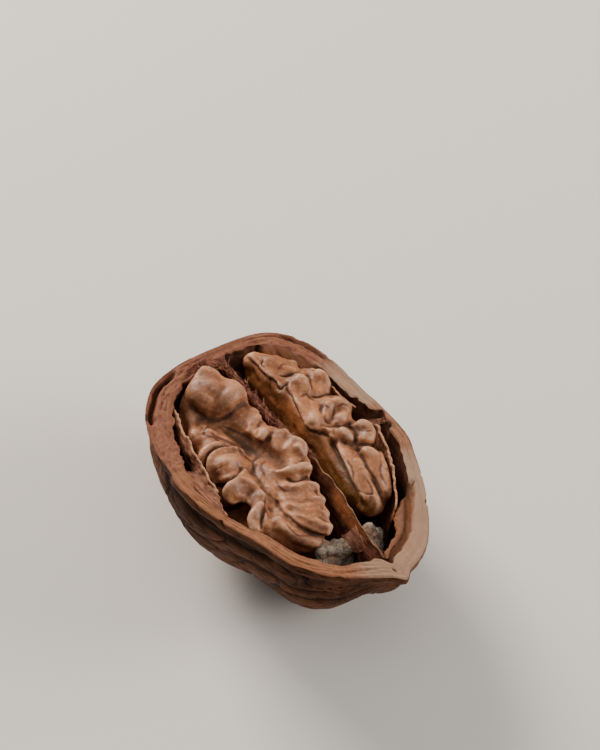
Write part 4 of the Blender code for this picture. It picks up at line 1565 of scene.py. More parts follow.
@dataclass(frozen=True)
class SeedSkinFinish(Finish):
    """Walnut seed skin: a thin, oily skin that dried on the folds, satin, tan and veined.

    Its crests get a painted highlight and its clefts painted shade, and it is amber and smooth
    where it lay against the partition.
    """

    light: str = "A66D48"
    dark: str = "704329"
    crest_highlight: str = "C49A7C"
    speck: str = "C9A184"
    cleft_shade: str = "321B0C"
    net: str = "7A431B"
    vein: str = "4E2411"
    amber: str = "8C532B"
    amber_low: str = "573913"
    amber_deep: str = "5E300C"
    # The net of fine veins: its cells in mm, how far they are bent and by noise of which size
    net_cell: float = 1 / 0.42
    net_bend: float = 2.2
    net_wander: float = 1 / 0.9

    def material(self) -> bpy.types.Material:
        """Tan skin with a network of 2.4 mm veins and a soft sheen.

        Returns:
            The material.
        """
        material, tree, shader, spot = self.start()
        # The oil in it gives a soft sheen, and light goes a little way into it
        for name, value in {
            "Specular IOR Level": 0.28, "Subsurface Weight": 0.18, "Subsurface Radius": (1.0, 0.5, 0.25),
            "Subsurface Scale": 0.9 * MM, "Coat Weight": 0.06, "Coat Roughness": 0.4,
        }.items():
            shader.inputs[name].default_value = value
        tone = self.pattern(tree, spot, 3.2, (1, 1, 1), 4)
        ramp = add_node(tree, "ShaderNodeValToRGB", {"stops": ((0.36, self.dark), (0.62, self.light))},
                        {"Fac": tone})
        # Skin cells are 0.03 mm across, too fine to show, so the mottle is coarser
        mottle = self.pattern(tree, spot, 0.45, (1, 1, 1), 4)
        shift = add_node(tree, "ShaderNodeTexNoise", {"Scale": 1 / self.net_wander, "Detail": 2.0}, {"Vector": spot})
        bent = add_node(tree, "ShaderNodeVectorMath", {"operation": "MULTIPLY_ADD", 1: (self.net_bend,) * 3},
                        {0: shift.outputs["Color"], 2: spot})
        cells = add_node(tree, "ShaderNodeTexVoronoi",
                         {"feature": "DISTANCE_TO_EDGE", "Scale": 1 / self.net_cell}, {"Vector": bent.outputs[0]})
        net = self.share(tree, cells.outputs["Distance"], (0, 0.055, 1, 0))
        # The net shows in patches
        patch = self.share(tree, self.pattern(tree, spot, 4.0, (1, 1, 1), 1), (0.46, 0.62, 0, 1))
        veins = add_node(tree, "ShaderNodeMath", {"operation": "MULTIPLY"}, {0: net, 1: patch})
        along = add_node(tree, "ShaderNodeSeparateXYZ", {}, {0: spot})
        streak = self.pattern(tree, spot, 0.55, (4, 1, 3), 3)
        colour = self.layers(tree, ramp.outputs[0], (
            # Painted highlight on the crests of the folds
            ("crown", (0.05, 0.9, 0, 0.65), self.crest_highlight),
            (mottle, (0.5, 0.66, 0, 0.4), self.dark),
            (mottle, (0.44, 0.3, 0, 0.3), self.speck),
            (veins.outputs[0], (0, 1, 0, 0.42), self.net),
            ("vein", (0.2, 0.6, 0, 0.85), self.vein),
            ("wall", (0, 1, 0, 0.8), self.amber),
            ("wall", None, self.amber_low, along.outputs[0], (-7.0, 4.0, 0, 0.85)),
            ("wall", None, self.amber_deep, streak, (0.5, 0.68, 0, 1)),
            # Painted shade in the clefts and grooves
            ("hollow", (0.08, 0.9, 0, 0.88), self.cleft_shade),
        ))
        tree.links.new(colour, shader.inputs["Base Color"])
        # Worn and oily patches differ a little, and the clefts are dull
        worn = self.share(tree, self.pattern(tree, spot, 1.2),
                          (0.35, 0.65, self.roughness - 0.08, self.roughness + 0.08))
        rough = add_node(tree, "ShaderNodeMath", {"operation": "ADD", "use_clamp": True},
                         {0: worn, 1: self.share(tree, "hollow", (0, 0.7, 0, 0.35))})
        tree.links.new(rough.outputs[0], shader.inputs["Roughness"])
        # A fine pebbling, and veins that lie a little below the skin
        self.carve(tree, shader, ((self.pattern(tree, spot, 0.4, (1, 1, 1), 4), 0.07), (net, -0.012)))
        return material


@dataclass(frozen=True)
class PaperyFinish(Finish):
    """Walnut septum and lining: soft tissue that dried thin as paper, matt and fibrous.

    It is dark where it is thick and crumbly, amber where light comes through and pale where torn.
    """

    light: str = "8A5A42"
    dark: str = "4E2A1C"
    edge: str = "A87C5E"
    grain: tuple = (7, 1, 1)
    crumb: str = "542A1D"
    amber: str = "95582A"

    def material(self) -> bpy.types.Material:
        """Fibres of 0.3 mm, a pale torn edge, and amber where light comes through.

        Returns:
            The material.
        """
        material, tree, shader, spot = self.start()
        shader.inputs["Specular IOR Level"].default_value = 0.2
        # Its fibres are 0.05 mm thick, so bundles of them are drawn
        fibre = self.pattern(tree, spot, 0.3, self.grain, 4)
        ramp = add_node(tree, "ShaderNodeValToRGB", {"stops": ((0.36, self.dark), (0.66, self.light))},
                        {"Fac": fibre})
        colour = self.layers(tree, ramp.outputs[0], (
            (self.pattern(tree, spot, 1.6), (0.5, 0.7, 0, 0.6), self.dark),
            ("crumbly", (0, 1, 0, 0.6), self.crumb),
            ("amber", (0, 1, 0, 0.5), self.amber),
            ("tip", (0.2, 1.0, 0, 0.8), self.edge),
        ))
        tree.links.new(colour, shader.inputs["Base Color"])
        self.carve(tree, shader, ((fibre, 0.10), (self.pattern(tree, spot, 0.8, (2, 1, 1), 3), 0.12)))
        return material


@dataclass(frozen=True)
class SpongyFinish(Finish):
    """Walnut packing tissue: a soft white pith that dried to a pale, dull sponge, with painted shade in its pits."""

    light: str = "9A8E7E"
    dark: str = "6C5C4C"
    stain: str = "7A5238"
    pit: str = "4A3323"

    def material(self) -> bpy.types.Material:
        """Pores of 0.25 mm in a pale sponge with brown patches.

        Returns:
            The material.
        """
        material, tree, shader, spot = self.start()
        # Its cells are 0.1 mm across, and are drawn coarser so that they show
        pore = self.pattern(tree, spot, 0.25, (1, 1, 1), 3)
        ramp = add_node(tree, "ShaderNodeValToRGB", {"stops": ((0.38, self.dark), (0.62, self.light))},
                        {"Fac": pore})
        colour = self.layers(tree, ramp.outputs[0], (
            (self.pattern(tree, spot, 2.0), (0.5, 0.66, 0, 0.7), self.stain),
            # Painted shade in the pits
            ("hollow", (0.1, 1.0, 0, 0.6), self.pit),
        ))
        tree.links.new(colour, shader.inputs["Base Color"])
        self.carve(tree, shader, ((pore, 0.12),))
        return material


@dataclass(frozen=True)
class Studio:
    """A plain pale floor, soft light from large panels and the photograph's viewpoint."""

    azimuth: float = 54.1
    elevation: float = 51.0
    distance: float = 0.337
    # Focal length in pixels, and where the nut's centre falls in an image of 600 by 750
    focal: float = 2835.0
    centre: tuple = (298.0, 460.0)
    image: tuple = (600, 750)

    def camera(self, lie: Lie) -> None:
        """Makes the camera and looks through it.

        Args:
            lie: how the nut lies, whose frame's origin the camera is fitted to.
        """
        a, e = math.radians(self.azimuth), math.radians(self.elevation)
        right = np.array([math.cos(a), math.sin(a), 0.0])
        up = np.array([-math.sin(a) * math.sin(e), math.cos(a) * math.sin(e), math.cos(e)])
        back = np.cross(right, up)
        off_x = (self.centre[0] - self.image[0] / 2) / self.focal * self.distance
        off_y = -(self.centre[1] - self.image[1] / 2) / self.focal * self.distance
        place = np.array(lie.place_mm) * MM - right * off_x - up * off_y + back * self.distance
        data = bpy.data.cameras.new("viewpoint")
        data.lens = self.focal / max(self.image) * data.sensor_width
        data.clip_start, data.clip_end = 0.01, 10.0
        camera = bpy.data.objects.new("viewpoint", data)
        bpy.context.scene.collection.objects.link(camera)
        turn = np.stack([right, up, back], axis=1)
        camera.matrix_world = Matrix([(*row, place[k]) for k, row in enumerate(turn)] + [(0, 0, 0, 1)])
        bpy.context.scene.camera = camera

    def floor(self) -> None:
        """Lays the floor."""
        clear_selection()
        bpy.ops.mesh.primitive_plane_add(size=3.0)
        floor = bpy.context.object
        floor.name = floor.data.name = "floor"
        material = bpy.data.materials.new("pale_floor")
        material.use_nodes = True
        shader = material.node_tree.nodes["Principled BSDF"]
        shader.inputs["Base Color"].default_value = shade("CFCBC6")
        shader.inputs["Roughness"].default_value = 0.75
        floor.data.materials.append(material)

    def panel(self, name: str, place: tuple, size: float, watts: float, colour: str) -> None:
        """Hangs a square light panel that faces the nut.

        Args:
            name: the light's name.
            place: where it hangs, in metres.
            size: its side in metres.
            watts: its power.
            colour: its sRGB colour.
        """
        data = bpy.data.lights.new(name, "AREA")
        data.size, data.energy, data.color = size, watts, shade(colour)[:3]
        panel = bpy.data.objects.new(name, data)
        bpy.context.scene.collection.objects.link(panel)
        panel.location = place
        panel.rotation_euler = (-Vector(place)).to_track_quat("-Z", "Y").to_euler()

    def light(self) -> None:
        """A large key from behind on the left, a softer one on the right, and a pale surround."""
        self.panel("key_panel", (-0.48, 0.02, 0.26), 0.24, 6.0, "FFF4E8")
        self.panel("side_panel", (0.30, 0.46, 0.20), 0.28, 4.4, "FFF8F0")
        self.panel("top_panel", (0.05, 0.0, 0.6), 0.5, 0.9, "FFFFFF")
        world = bpy.data.worlds.new("surround")
        world.use_nodes = True
        world.node_tree.nodes["Background"].inputs["Color"].default_value = shade("EDEDED")
        world.node_tree.nodes["Background"].inputs["Strength"].default_value = 0.28
        bpy.context.scene.world = world


def drawn_lines(table: str) -> list:
    """Reads a table of lines in space.

    Args:
        table: for each line a label, a colon and its points, with commas between these.

    Returns:
        Each line's label and its points.
    """
    rows = []
    for row in table.replace(",\n", ",").strip().splitlines():
        label, points = row.split(":")
        rows.append((label.strip(), tuple(tuple(map(float, point.split())) for point in points.split(","))))
    return rows


def strokes(table: str) -> tuple:
    """Reads lines whose labels are their reach and their height or depth."""
    return tuple((*map(float, label.split()), points) for label, points in drawn_lines(table))


# Folds of the kernel: (x, y, z, radius) in millimetres along each
LEFT_FOLDS = dict(drawn_lines("""
ridge_base: -15.6 -2 -2.8 2.5, -13 -1.4 -2.9 2.4, -10.8 -1.2 -3.1 2.2, -8.4 -0.9 -3 2.15, -6 -0.8 -2.9 2.2,
   -3.6 -0.2 -2.8 2.2, -1.4 -0.3 -2.8 2.2, 0.6 -1.2 -2.8 2.2, 2.6 -1.9 -2.9 2.2, 4.6 -2.6 -2.9 2.2,
   6.4 -3.2 -3 2.2, 8 -3.5 -3.2 1.9
side_base: -11.4 -5.6 -4.4 2.1, -7.4 -6.4 -3.7 2.1, -4.4 -6.6 -3.5 2.1, -1.6 -6.8 -3.6 2, 1.4 -6.5 -3.9 1.9,
   4.2 -7.2 -4.2 1.8
shelf: -13.4 -5 -3.4 1.7, -10.4 -4.2 -3.4 1.7, -7.6 -3.8 -3.4 1.7, -5.6 -4.6 -3.4 1.6
head_back: -16.6 -1.5 -1 2, -17 -3.3 -2.1 1.9
head_low: -14.6 -2.7 -1.1 2.2, -15.5 -4.3 -2.2 2
head_front: -14.1 0.2 -0.8 1.4, -12.6 -1.2 -0.9 1.5
head_cap: -12.5 0.5 -1.2 1.1
neck_a: -11.2 -0.2 -1.9 1.2, -10.6 -1.4 -1.8 1.3
neck_b: -9.8 0.6 -1.5 1, -8.9 -0.7 -1.7 1.15
neck_c: -8 0.4 -1.6 0.9, -7.4 -0.8 -1.9 1.1
knob_a: -6.1 -0.9 -0.9 1.15, -5.6 0.3 -1 1.15
knob_b: -4.7 0.9 -1 1.05, -3.6 0 -1.4 1.2
knob_c: -3.2 1.2 -1.1 1, -2.1 1.5 -0.9 1.3, -1.8 0.3 -1.6 1.4
knob_d: 0.3 -0.9 -1.2 1.3, 0.8 0.5 -1.1 1.05
finger_a: 2.3 -3 -1.9 1.1, 3.2 -1.5 -1.35 1, 3.7 -0.3 -1.3 0.8
finger_b: 3.8 -3.9 -1.9 1.1, 4.7 -2.3 -1.35 1, 5.5 -0.9 -1.3 0.85
finger_c: 5.1 -4.4 -1.9 1.1, 6.6 -3.1 -1.35 1, 7.5 -1.7 -1.4 0.85
finger_d: 6.7 -4.6 -1.8 1.1, 8.3 -3.7 -1.5 1, 9.3 -2.6 -1.6 0.95
belly: 5.6 -6.5 -3.4 2.1, 7.4 -5.6 -3.3 2.1, 8.8 -4.4 -3.3 1.6
side_a: -9.8 -5.9 -2.5 1.2, -10.6 -6.8 -3.2 1.4
side_b: -7.8 -6.7 -2.3 1.1, -7 -8 -2.6 1.1
side_c: -4.3 -7.3 -1.95 1.85, -4.4 -5.8 -2.4 1.6
side_d: -0.8 -8.6 -2.1 1.3, -1.2 -6.6 -2 1.2
side_e: 1.4 -6.5 -2.5 1.15, 2.8 -7.4 -2.6 1
side_f: 3.4 -8.3 -2.4 1, 4.9 -8.8 -2.8 1.15, 5 -7.4 -3 1.3
tongue: -4.4 -2.5 -2.7 1.2, -1.9 -3.1 -2.6 1.25, 1 -3.8 -2.5 1.3
tongue_side: -1.6 -5 -2.9 1.2, 1.6 -5.4 -2.9 1.2
pit_floor: -0.6 -7.6 -3.5 1.8, 1.6 -5.2 -3.9 1.7, 4.2 -5.6 -3.8 1.8
"""))
RIGHT_FOLDS = dict(drawn_lines("""
body: -15.2 7.8 -3 3.1, -12 8.4 -3 3.2, -8.8 8.6 -3.1 3.2, -5.4 8.3 -3.2 3.1, -2 8 -3.4 2.9, 1.8 7.4 -3.7 2.7,
   4.4 6.8 -3.9 2.4, 6.2 6.2 -3.9 2.1
wall: -15.6 6.4 -2.6 2.2, -12 6.9 -2.7 2.3, -8.5 7 -2.7 2.3, -4.8 6.6 -2.8 2.3, -1.6 7 -3.2 2.3, 2 6.6 -3.4 2.3,
   5 5.8 -3.7 2.1
corner: -17 5.7 -1 1.4, -17 7 -2 1.6
crest: -15.8 6.2 -1.1 1.6, -13.4 6.3 -1.1 1.6
crest_front: -11.2 6.2 -1.2 1.4, -9.6 6.6 -1.3 1.3
far_knob: -14.1 9.6 -1.4 1.2, -15.6 9 -1.8 1.5
knob_a: -10.9 8.3 -0.9 1.5
knob_b: -10.6 11.6 -1.4 1.45, -12.2 11.6 -1.6 1.2
knob_c: -7.8 6.3 -0.95 1.3, -6.6 6.2 -1.2 1.3
knob_d: -6 9.4 -0.9 1.35, -7 9 -1.3 1.3
knob_e: -5.3 11.1 -1.2 1.3, -6.4 11.4 -1.8 1.4
saddle: -4.9 6 -0.95 1.15, -4.5 7.8 -1.3 1.2
pip: -3.3 8.8 -0.7 0.85
neck: -2.5 7.4 -1.2 1.1, -3.4 10 -1.8 1.3
knob_f: -0.9 8.1 -0.7 1.05
knob_g: -0.8 10.9 -1.3 1.5, 0.4 10.4 -1.6 1.4
inner_ridge: 1.4 6.6 -1.25 1.05, 4.6 5.7 -1.6 1.15, 7.4 5.2 -2.1 1.2
mid_knob: 2.7 8.8 -1.25 1.25, 5 7.4 -1.7 1.2
outer_ridge: 3.4 10 -1.7 1.25, 6 8.8 -2 1.3, 7.5 7.6 -2.3 1.3
end: 8.4 5.5 -2.5 1.35, 7.6 6.2 -3.3 1.8
"""))

# Ridges of the left lobe: (reach, height, points along it) in millimetres
LEFT_RIDGES = strokes("""
1.7 0.5: -17.2 -2.5 0.5, -16 -3.8 0.2, -14.3 -4.5 0, -13.1 -4.1 -0.9
1.6 0.65: -12.8 0.2 0.1, -12.4 -1.5 0.4, -12.2 -2.7 -0.9
2.2 0.35: -17.1 -2.6 0.5, -15.6 -2.6 0.7, -14 -2.2 0.8
0.8 0.4: -8.7 0.5 -0.9, -8.2 -0.8 -0.8, -7.3 -1.8 -1.1
0.7 0.55: -5.4 -1.5 -0.4, -5.6 -0.8 0
0.9 0.35: -4.7 0.7 -0.1, -4.1 -0.4 -0.4, -3.3 -1 -0.8
0.6 0.4: -4.9 1.6 -0.5, -2.8 1.7 0.1, -1.8 2.1 0.1, -1 1.8 -0.4, 0.4 1.1 -0.5
0.75 0.45: -1.6 1.3 0.1, -0.9 1.3 -0.5
0.55 0.2: -2.4 0 -0.4, -2.7 0.7 -0.1, -2.9 1.5 0
0.9 0.3: -13.8 -6 -2.2, -12.2 -6.6 -2.8, -10.2 -7.5 -2.2
0.6 0.15: -11.6 -5.4 -2, -9.7 -5.2 -1.7, -8.1 -4.2 -1.9, -6.6 -3.5 -2
0.8 0.5: -7.4 -5.9 -1.7, -7.5 -7.4 -1.4, -7.2 -8.6 -1.9, -6.8 -8.9 -2.8, -6.3 -8.5 -3.7
0.8 0.6: -5.3 -4.2 -2, -6.3 -5.1 -1.9, -6.3 -6.9 -1.6, -5.6 -8.4 -1.7, -4.8 -8.9 -2.2, -3.8 -8.7 -2.9
0.6 0.25: -3.8 -8.7 -2.9, -2.9 -8.4 -2.2, -2.5 -7.5 -1.3
0.7 0.4: -3.2 -3.8 -2, -2.7 -5.8 -1.8, -1.4 -8 -1, -1 -9.4 -1.3
0.7 0.4: -1 -9.6 -1.6, -0.1 -9.5 -2.5, 0.7 -8.5 -2.8, 1.5 -7.7 -2.1
0.6 0.3: -1.5 -7.7 -1, -0.7 -6.7 -1, 0 -6 -1.8, 1.6 -6.1 -1.6
0.7 0.25: -3.5 -3 -1.6, -2.7 -3.9 -1.9, -0.7 -4.7 -1.8, 1.3 -4.9 -1.8, 2.5 -4.6 -2.1
1.3 0.3: -2.9 -2 -1.5, -0.6 -2.5 -1.4
0.9 0.5: -0.7 -2.6 -1.5, 0.6 -1.8 -0.5, 1 -0.4 -0.2, 1.2 0.5 -0.3
0.6 0.12: 1.5 -3.6 -1.3, 2.8 -2.4 -0.7, 3.1 -0.7 -0.7, 3.9 -0.1 -0.7
0.6 0.2: 2.7 -4.4 -1.9, 5.5 -4 -0.7, 6.4 -1.9 -0.9, 6 -0.4 -1.1
0.6 0.18: 4.2 -4.7 -1.2, 6.5 -4 -0.7, 7.6 -2.8 -0.7, 8.3 -1.6 -1.3
0.6 0.2: 6.2 -4.9 -0.9, 8 -4.1 -0.7, 9.2 -3.1 -0.7, 9.8 -2.1 -1.1
0.7 0.12: 1.7 0.6 -1, 4 0.3 -1.1, 6 -0.4 -1.1, 8 -1.4 -0.9, 9.8 -2.1 -1.1, 10.1 -2.4 -1.4
0.6 0.3: 4 -5 -1.7, 6.7 -5.4 -1.1, 8.7 -4.5 -1.3, 10.1 -2.8 -1.7
0.55 0.22: 3.3 -0.6 -0.6, 3.9 0.2 -0.9
0.55 0.28: 5.7 -1.4 -0.7, 6 -0.4 -1.1
0.55 0.28: 7.6 -2.3 -0.7, 8 -1.4 -0.9
0.8 0.5: 2.7 -7.3 -1.7, 3.5 -8.7 -1.6, 4.1 -9.4 -2, 5.2 -9.6 -2.3
0.7 0.3: 3.6 -7 -2.1, 5.3 -8 -1.8, 6.5 -8.2 -2.8
1 0.5: 5.9 -7.2 -1.6, 7.9 -6.7 -1.7, 9.3 -5.4 -2.1, 9.9 -3.3 -3
""")
# Grooves of the left lobe: (width, depth, points along it)
LEFT_GROOVES = strokes("""
0.3 0.13: -14.2 -5.3 -1.1, -13.2 -4.9 -1.7, -12.1 -4.5 -1.8, -11.2 -3.7 -1.7, -10.9 -2.5 -1.3, -10.8 -1.6 -0.6,
   -11.1 -0.5 -0.6, -11.4 0.6 -0.9
0.9 0.22: -14.2 -5.3 -1.1, -13.1 -5 -1.8, -11.9 -4.6 -1.8, -11 -3.8 -1.7, -10.7 -2.6 -1.4, -10.6 -1.8 -0.7,
   -10.9 -0.7 -0.6, -11.1 0.4 -0.9
1.5 0.5: -12.3 -5.1 -1.9, -10.6 -4.2 -1.8, -8.6 -3.4 -1.9, -7 -3 -1.9, -5.2 -2.6 -1.7, -3.3 -2.2 -1.5,
   -1.7 -1.7 -1.2, -0.9 -1.5 -0.9
0.2 0.05: -10.8 -4 -1.7, -8.8 -3.3 -1.9, -7.1 -2.9 -1.9, -5.2 -2.6 -1.7, -3.3 -2.2 -1.5
0.5 0.2: -8.3 0.8 -1, -7.4 -0.4 -0.7, -6.1 -1.7 -0.3
0.6 0.08: -10 -0.1 -0.8, -9 -1.4 -0.9, -7.8 -1.8 -1.1
0.4 0.14: -5.4 -1.9 -1, -4.9 -1.4 -0.8, -4.8 -0.7 -0.6
0.55 0.15: -5.4 -0.4 0, -5.2 -0.7 -0.2, -5 -0.9 -0.5
0.34 0.08: -5.7 0.4 0, -4.8 0.1 -0.2
0.6 0.28: 0.7 0.9 -0.3, 0.3 0.5 -0.3, 0.3 -0.9 0, -0.6 -1.5 -0.6
0.5 0.05: -2.5 1.4 0.2, -2 1.3 0.3
0.24 0.26: 1.2 -2.4 -1, 2 -2 -0.8, 2.4 -1.1 -0.8, 1.8 0.5 -1.5, 3.4 -0.1 -0.7
0.2 0.08: -4.4 -2.7 -1.6, -3.5 -3.6 -2, -2 -4.6 -1.9, -0.4 -5 -1.8, 1.2 -5.2 -1.8, 2.2 -5.1 -2, 3.2 -5.1 -2.1
0.8 0.14: -3.5 -3.6 -1.9, -1.8 -4.6 -1.9, -0.3 -5.1 -1.7, 1.3 -5.2 -1.8, 2.5 -5 -2.1
0.24 0.22: 2.7 -4.7 -2.1, 4.1 -5.3 -1.8, 6 -5.6 -1.4, 7.9 -5.3 -1.3, 9.3 -4.3 -1.7, 10.1 -2.8 -1.7
0.6 0.1: 3.8 -5.2 -1.9, 6.1 -5.7 -1.4, 8 -5.3 -1.4, 9.3 -4.3 -1.7, 9.6 -2.7 -2.6
0.5 0.2: 2.5 -4.6 -2.1, 3.2 -4.9 -1.9, 3.7 -5.1 -1.9
0.34 0.36: -6.9 -5.7 -1.8, -6.5 -7.3 -1.7, -6.1 -8.4 -2.1, -6 -8.5 -3.5, -4.9 -8.6 -3.8
0.2 0.16: -4.1 -8.9 -1.6, -4 -8.5 -0.8, -3.8 -7.9 -0.5, -3.9 -7.3 -0.3
1.1 0.3: -3.3 -8 -0.8, -3.2 -7.1 -0.7
0.5 0.28: -3.6 -8.7 -3.2, -2.6 -8.5 -2.7, -1.6 -8.4 -1.2, -2.6 -6.3 -1.5
0.8 0.2: 0.1 -8 -1.4, 0.3 -7.3 -1.8
0.26 0.12: 0 -8.7 -1.3, 0.2 -8.7 -1.5
0.28 0.05: -0.9 -7.7 -0.9, -0.6 -7.6 -1
0.3 0.1: 2.2 -3.8 -1.3, 2.7 -3.7 -1.2
0.26 0.26: 2.8 -7 -1.7, 4.7 -8.5 -1.7, 5.6 -9.2 -2.3
0.6 0.12: 3.6 -6.3 -2.2, 4.6 -7.1 -1.8, 6.1 -7.3 -1.6
0.9 0.22: 2.8 -3.3 -1, 4.3 -2.4 -0.6, 4.7 -0.7 -0.9
0.5 0.1: 4.1 -4.3 -1, 5.4 -3.2 -0.8, 6.1 -1.1 -0.8
0.5 0.12: 5.2 -4.9 -1, 7.1 -3.8 -0.7, 7.7 -1.5 -0.7
0.5 0.1: 7.2 -4.8 -0.9, 8.8 -3.7 -0.7, 9.3 -2.1 -1
0.26 0.1: -11.8 -5.4 -2, -10.8 -6.3 -1.8, -10.1 -7.1 -1.9
0.4 0.12: -10.3 -7.8 -2.4, -9.9 -6.5 -1.6, -9.1 -4.8 -1.9
0.3 0.22: 4.6 -0.5 -0.9, 5.4 -0.6 -0.7
0.3 0.26: 6.6 -1.8 -0.9, 7.7 -1.5 -0.7
0.3 0.24: 8.4 -2.7 -0.8, 9.3 -2.1 -1
0.2 0.14: 7.2 -1.5 -0.7, 7.2 -1.5 -0.7
0.2 0.14: 5.4 -0.6 -0.7, 5.8 -0.6 -0.7
""")
# Hollows between its folds: (reach, depth, points)
LEFT_PITS = strokes("""
1.5 3.4: -1.2 -9.2 -4.5, -0.1 -9.1 -4.3, 0.7 -8.7 -4, 1.6 -8.4 -3.7, 2.5 -8.5 -3.8
""")
# Veins of the left lobe's skin
LEFT_VEINS = strokes("""
0.36 1: -6.2 -4.4 -1.9, -5.3 -4.4 -1.9, -4.1 -4.1 -2.3, -3.1 -4 -2.3
0.36 1: -6.7 -3.2 -2, -5.6 -2.7 -1.9, -4.2 -2.8 -1.6, -3.5 -3.6 -1.9, -1.7 -4.7 -1.8
0.36 1: -9.5 -5.8 -1.5, -8.2 -4.7 -2, -6.5 -4 -1.9
0.36 1: -11.3 -4.8 -1.8, -9.9 -6.5 -1.6, -8.6 -5.6 -1.9, -6.7 -5 -2
0.36 0.4: -15.1 -4.1 0.3, -13.7 -3.6 0.5, -12.8 -2.8 0
0.36 0.35: -16.9 -2 0.8, -15.9 -3.2 0.5, -14 -3.9 0.5
0.36 0.8: -2.9 -2.4 -1.5, -2.1 -3.5 -1.6, -0.9 -4 -1.6
0.36 0.8: 0.6 -3.4 -1.4, 2 -3.7 -1.2, 3 -3.3 -1
0.36 0.8: -2.7 -5.3 -2, -3.1 -6.2 -1.2, -3.7 -6.2 -0.7
0.36 0.6: -10.1 -3.4 -1.8, -9.3 -2.8 -1.8, -7.9 -2.4 -1.6, -5.9 -2.2 -1.3
0.36 0.8: 1.8 -5.9 -1.7, 3 -7 -1.8, 4.9 -7.6 -1.7
0.36 0.6: 6.9 -6.8 -1.6, 8.5 -6.2 -1.8, 9.5 -4.8 -2
""")
# The same for the right lobe
RIGHT_RIDGES = strokes("""
0.5 0.25: -17 5.2 0.1, -15.6 5.2 0, -14.3 5.2 0, -12.9 5.5 0, -11.5 5.6 -0.1
1.1 0.3: -15.2 6.9 0.3, -13.6 7.9 0, -12.2 8.6 0
0.7 0.25: -14.3 8.9 -0.2, -13.6 10.2 -0.6
1.3 0.6: -10.7 11.4 -0.1, -9.9 11.5 -0.3, -9.1 11.1 -1.1
0.7 0.3: -13 10.4 -0.8, -12.4 11 -0.6, -10.7 11.4 -0.1
1.3 0.5: -10.6 8.2 0.4, -9.3 8 -0.1
0.6 0.25: -11.2 7.2 0, -9.4 6.3 -0.2, -7.4 5.7 0, -6 5.4 -0.5, -4.6 5.1 -0.8
1.1 0.5: -5.6 10.4 -0.1, -4.4 10.6 -0.5, -3.1 9 0
0.9 0.35: -5.8 8.7 0.1, -4.5 7.5 -0.2
0.8 0.3: -6.7 7.4 -0.3, -4.4 5.9 0
0.6 0.3: -3 8.2 -0.2, -2.6 8.3 -0.3
0.45 0.3: -4.2 5.2 -0.8, -3.2 6.6 -0.7, -2.2 6.9 -0.5
0.5 0.4: -1.8 6.7 -0.7, -1.4 6.7 -0.9
0.8 0.45: -1.5 7.9 0, -0.2 7.9 -0.2
1.2 0.5: -1.3 10.7 -0.1, 0 11.1 -0.2, 0.7 9.9 -0.5
1 0.4: 2.4 8.5 -0.2, 3.3 9 -0.3
1 0.45: 3.5 9.4 -0.5, 5.4 9.1 -0.7, 7.2 8.4 -1.1, 8.3 7.7 -1.5
0.7 0.3: -0.2 6.5 -1.1, 2.4 5.6 -0.7, 5.5 4.8 -1, 7.4 4.4 -1.4
0.7 0.35: 3.1 6.8 -0.6, 5.3 6.4 -0.8, 7.6 6 -1.3, 9.3 5.3 -1.8
1 0.3: 7.8 4.4 -3.3, 9.2 4.7 -2.7, 9.5 5.6 -2
""")
# Grooves
RIGHT_GROOVES = strokes("""
0.26 0.26: -17 4.8 0, -15.6 5.1 -0.1, -14.4 5.1 -0.2, -13.1 5.2 -0.2, -12.2 5.5 -0.2, -11 5.3 -0.3, -11.1 6.1 0,
   -11 6.5 0, -10.3 6 -0.1, -9.4 6 -0.3, -7.4 5.3 -0.3, -6 5.2 -0.7, -4.5 5 -1, -3.7 5.3 -1.1, -2.6 6.2 -1,
   -1.6 6.4 -1
0.3 0.36: -1.3 6.3 -1.1, 0.1 6 -1.3, 2.4 5.3 -1.2, 4.7 4.6 -1.4, 6.8 4.2 -1.9, 8 4.3 -2.7
0.8 0.25: -0.9 6.3 -1.2, 2.5 5.3 -1.3, 4.8 4.6 -1.5, 6.9 4.2 -2
0.28 0.26: -12.8 6 0.1, -12.2 7.5 -0.1, -11.9 8.8 0.1, -11.3 10 -0.4, -9.8 9.4 -0.1, -8.3 8.1 -0.1
0.2 0.14: -12 10.8 -0.6, -10.7 11.4 -0.1, -9.8 11.6 -0.3
0.34 0.32: -8.1 8.1 -0.1, -7.7 9 -0.1, -8.1 11.2 -1.5
0.2 0.14: -5.3 9.5 0.1, -4.6 8.9 -0.4, -3.3 8 -0.3
0.3 0.14: -6.5 8.9 0.1, -5.6 7.7 -0.3, -4.2 7.2 -0.2, -3.1 7.5 -0.4
0.3 0.26: -3.6 6.4 -0.6, -2.8 7.5 -0.3, -2.3 8.7 -0.5, -2.8 10.1 -0.7
0.32 0.3: -2.2 9.4 -0.8, -1 9.5 -0.7, 0 8.9 -0.8, 0.3 7.9 -0.8, -0.3 7 -0.8
0.34 0.34: 0.7 8.7 -1.1, 1.2 9.6 -0.9, 1.6 10.6 -1.1, 1.4 11.1 -1.1
0.36 0.32: 1 8.4 -1.1, 3.2 7.7 -0.5, 5.1 7.3 -0.6, 6.8 7.1 -1.3, 8.7 6.6 -1.7
0.3 0.2: 1.7 10.6 -1.3, 4.1 9.3 -0.6, 5.7 8.8 -0.8
0.14 0.15: 6.9 4.5 -1.3, 7.5 4.8 -1.1, 8.3 5.7 -1.3
0.16 0.15: 7.2 4.4 -3.2, 7.4 4.3 -1.6
0.14 0.25: -15.7 6.1 0.4, -15.1 5.5 0.2, -14.3 5.5 0.2
0.16 0.25: -14.4 8 0, -12.9 8.9 -0.1, -12.5 9.8 -0.4
0.5 0.15: -12.9 5.1 -0.5, -11.9 4.9 -1.8, -10.3 4.9 -2.2
0.5 0.15: -15.5 4.7 -0.9, -14.1 4.7 -1.5
0.6 0.15: -3.2 5.1 -1.7, 0 4.8 -2.5, 4 4.2 -2.8
""")
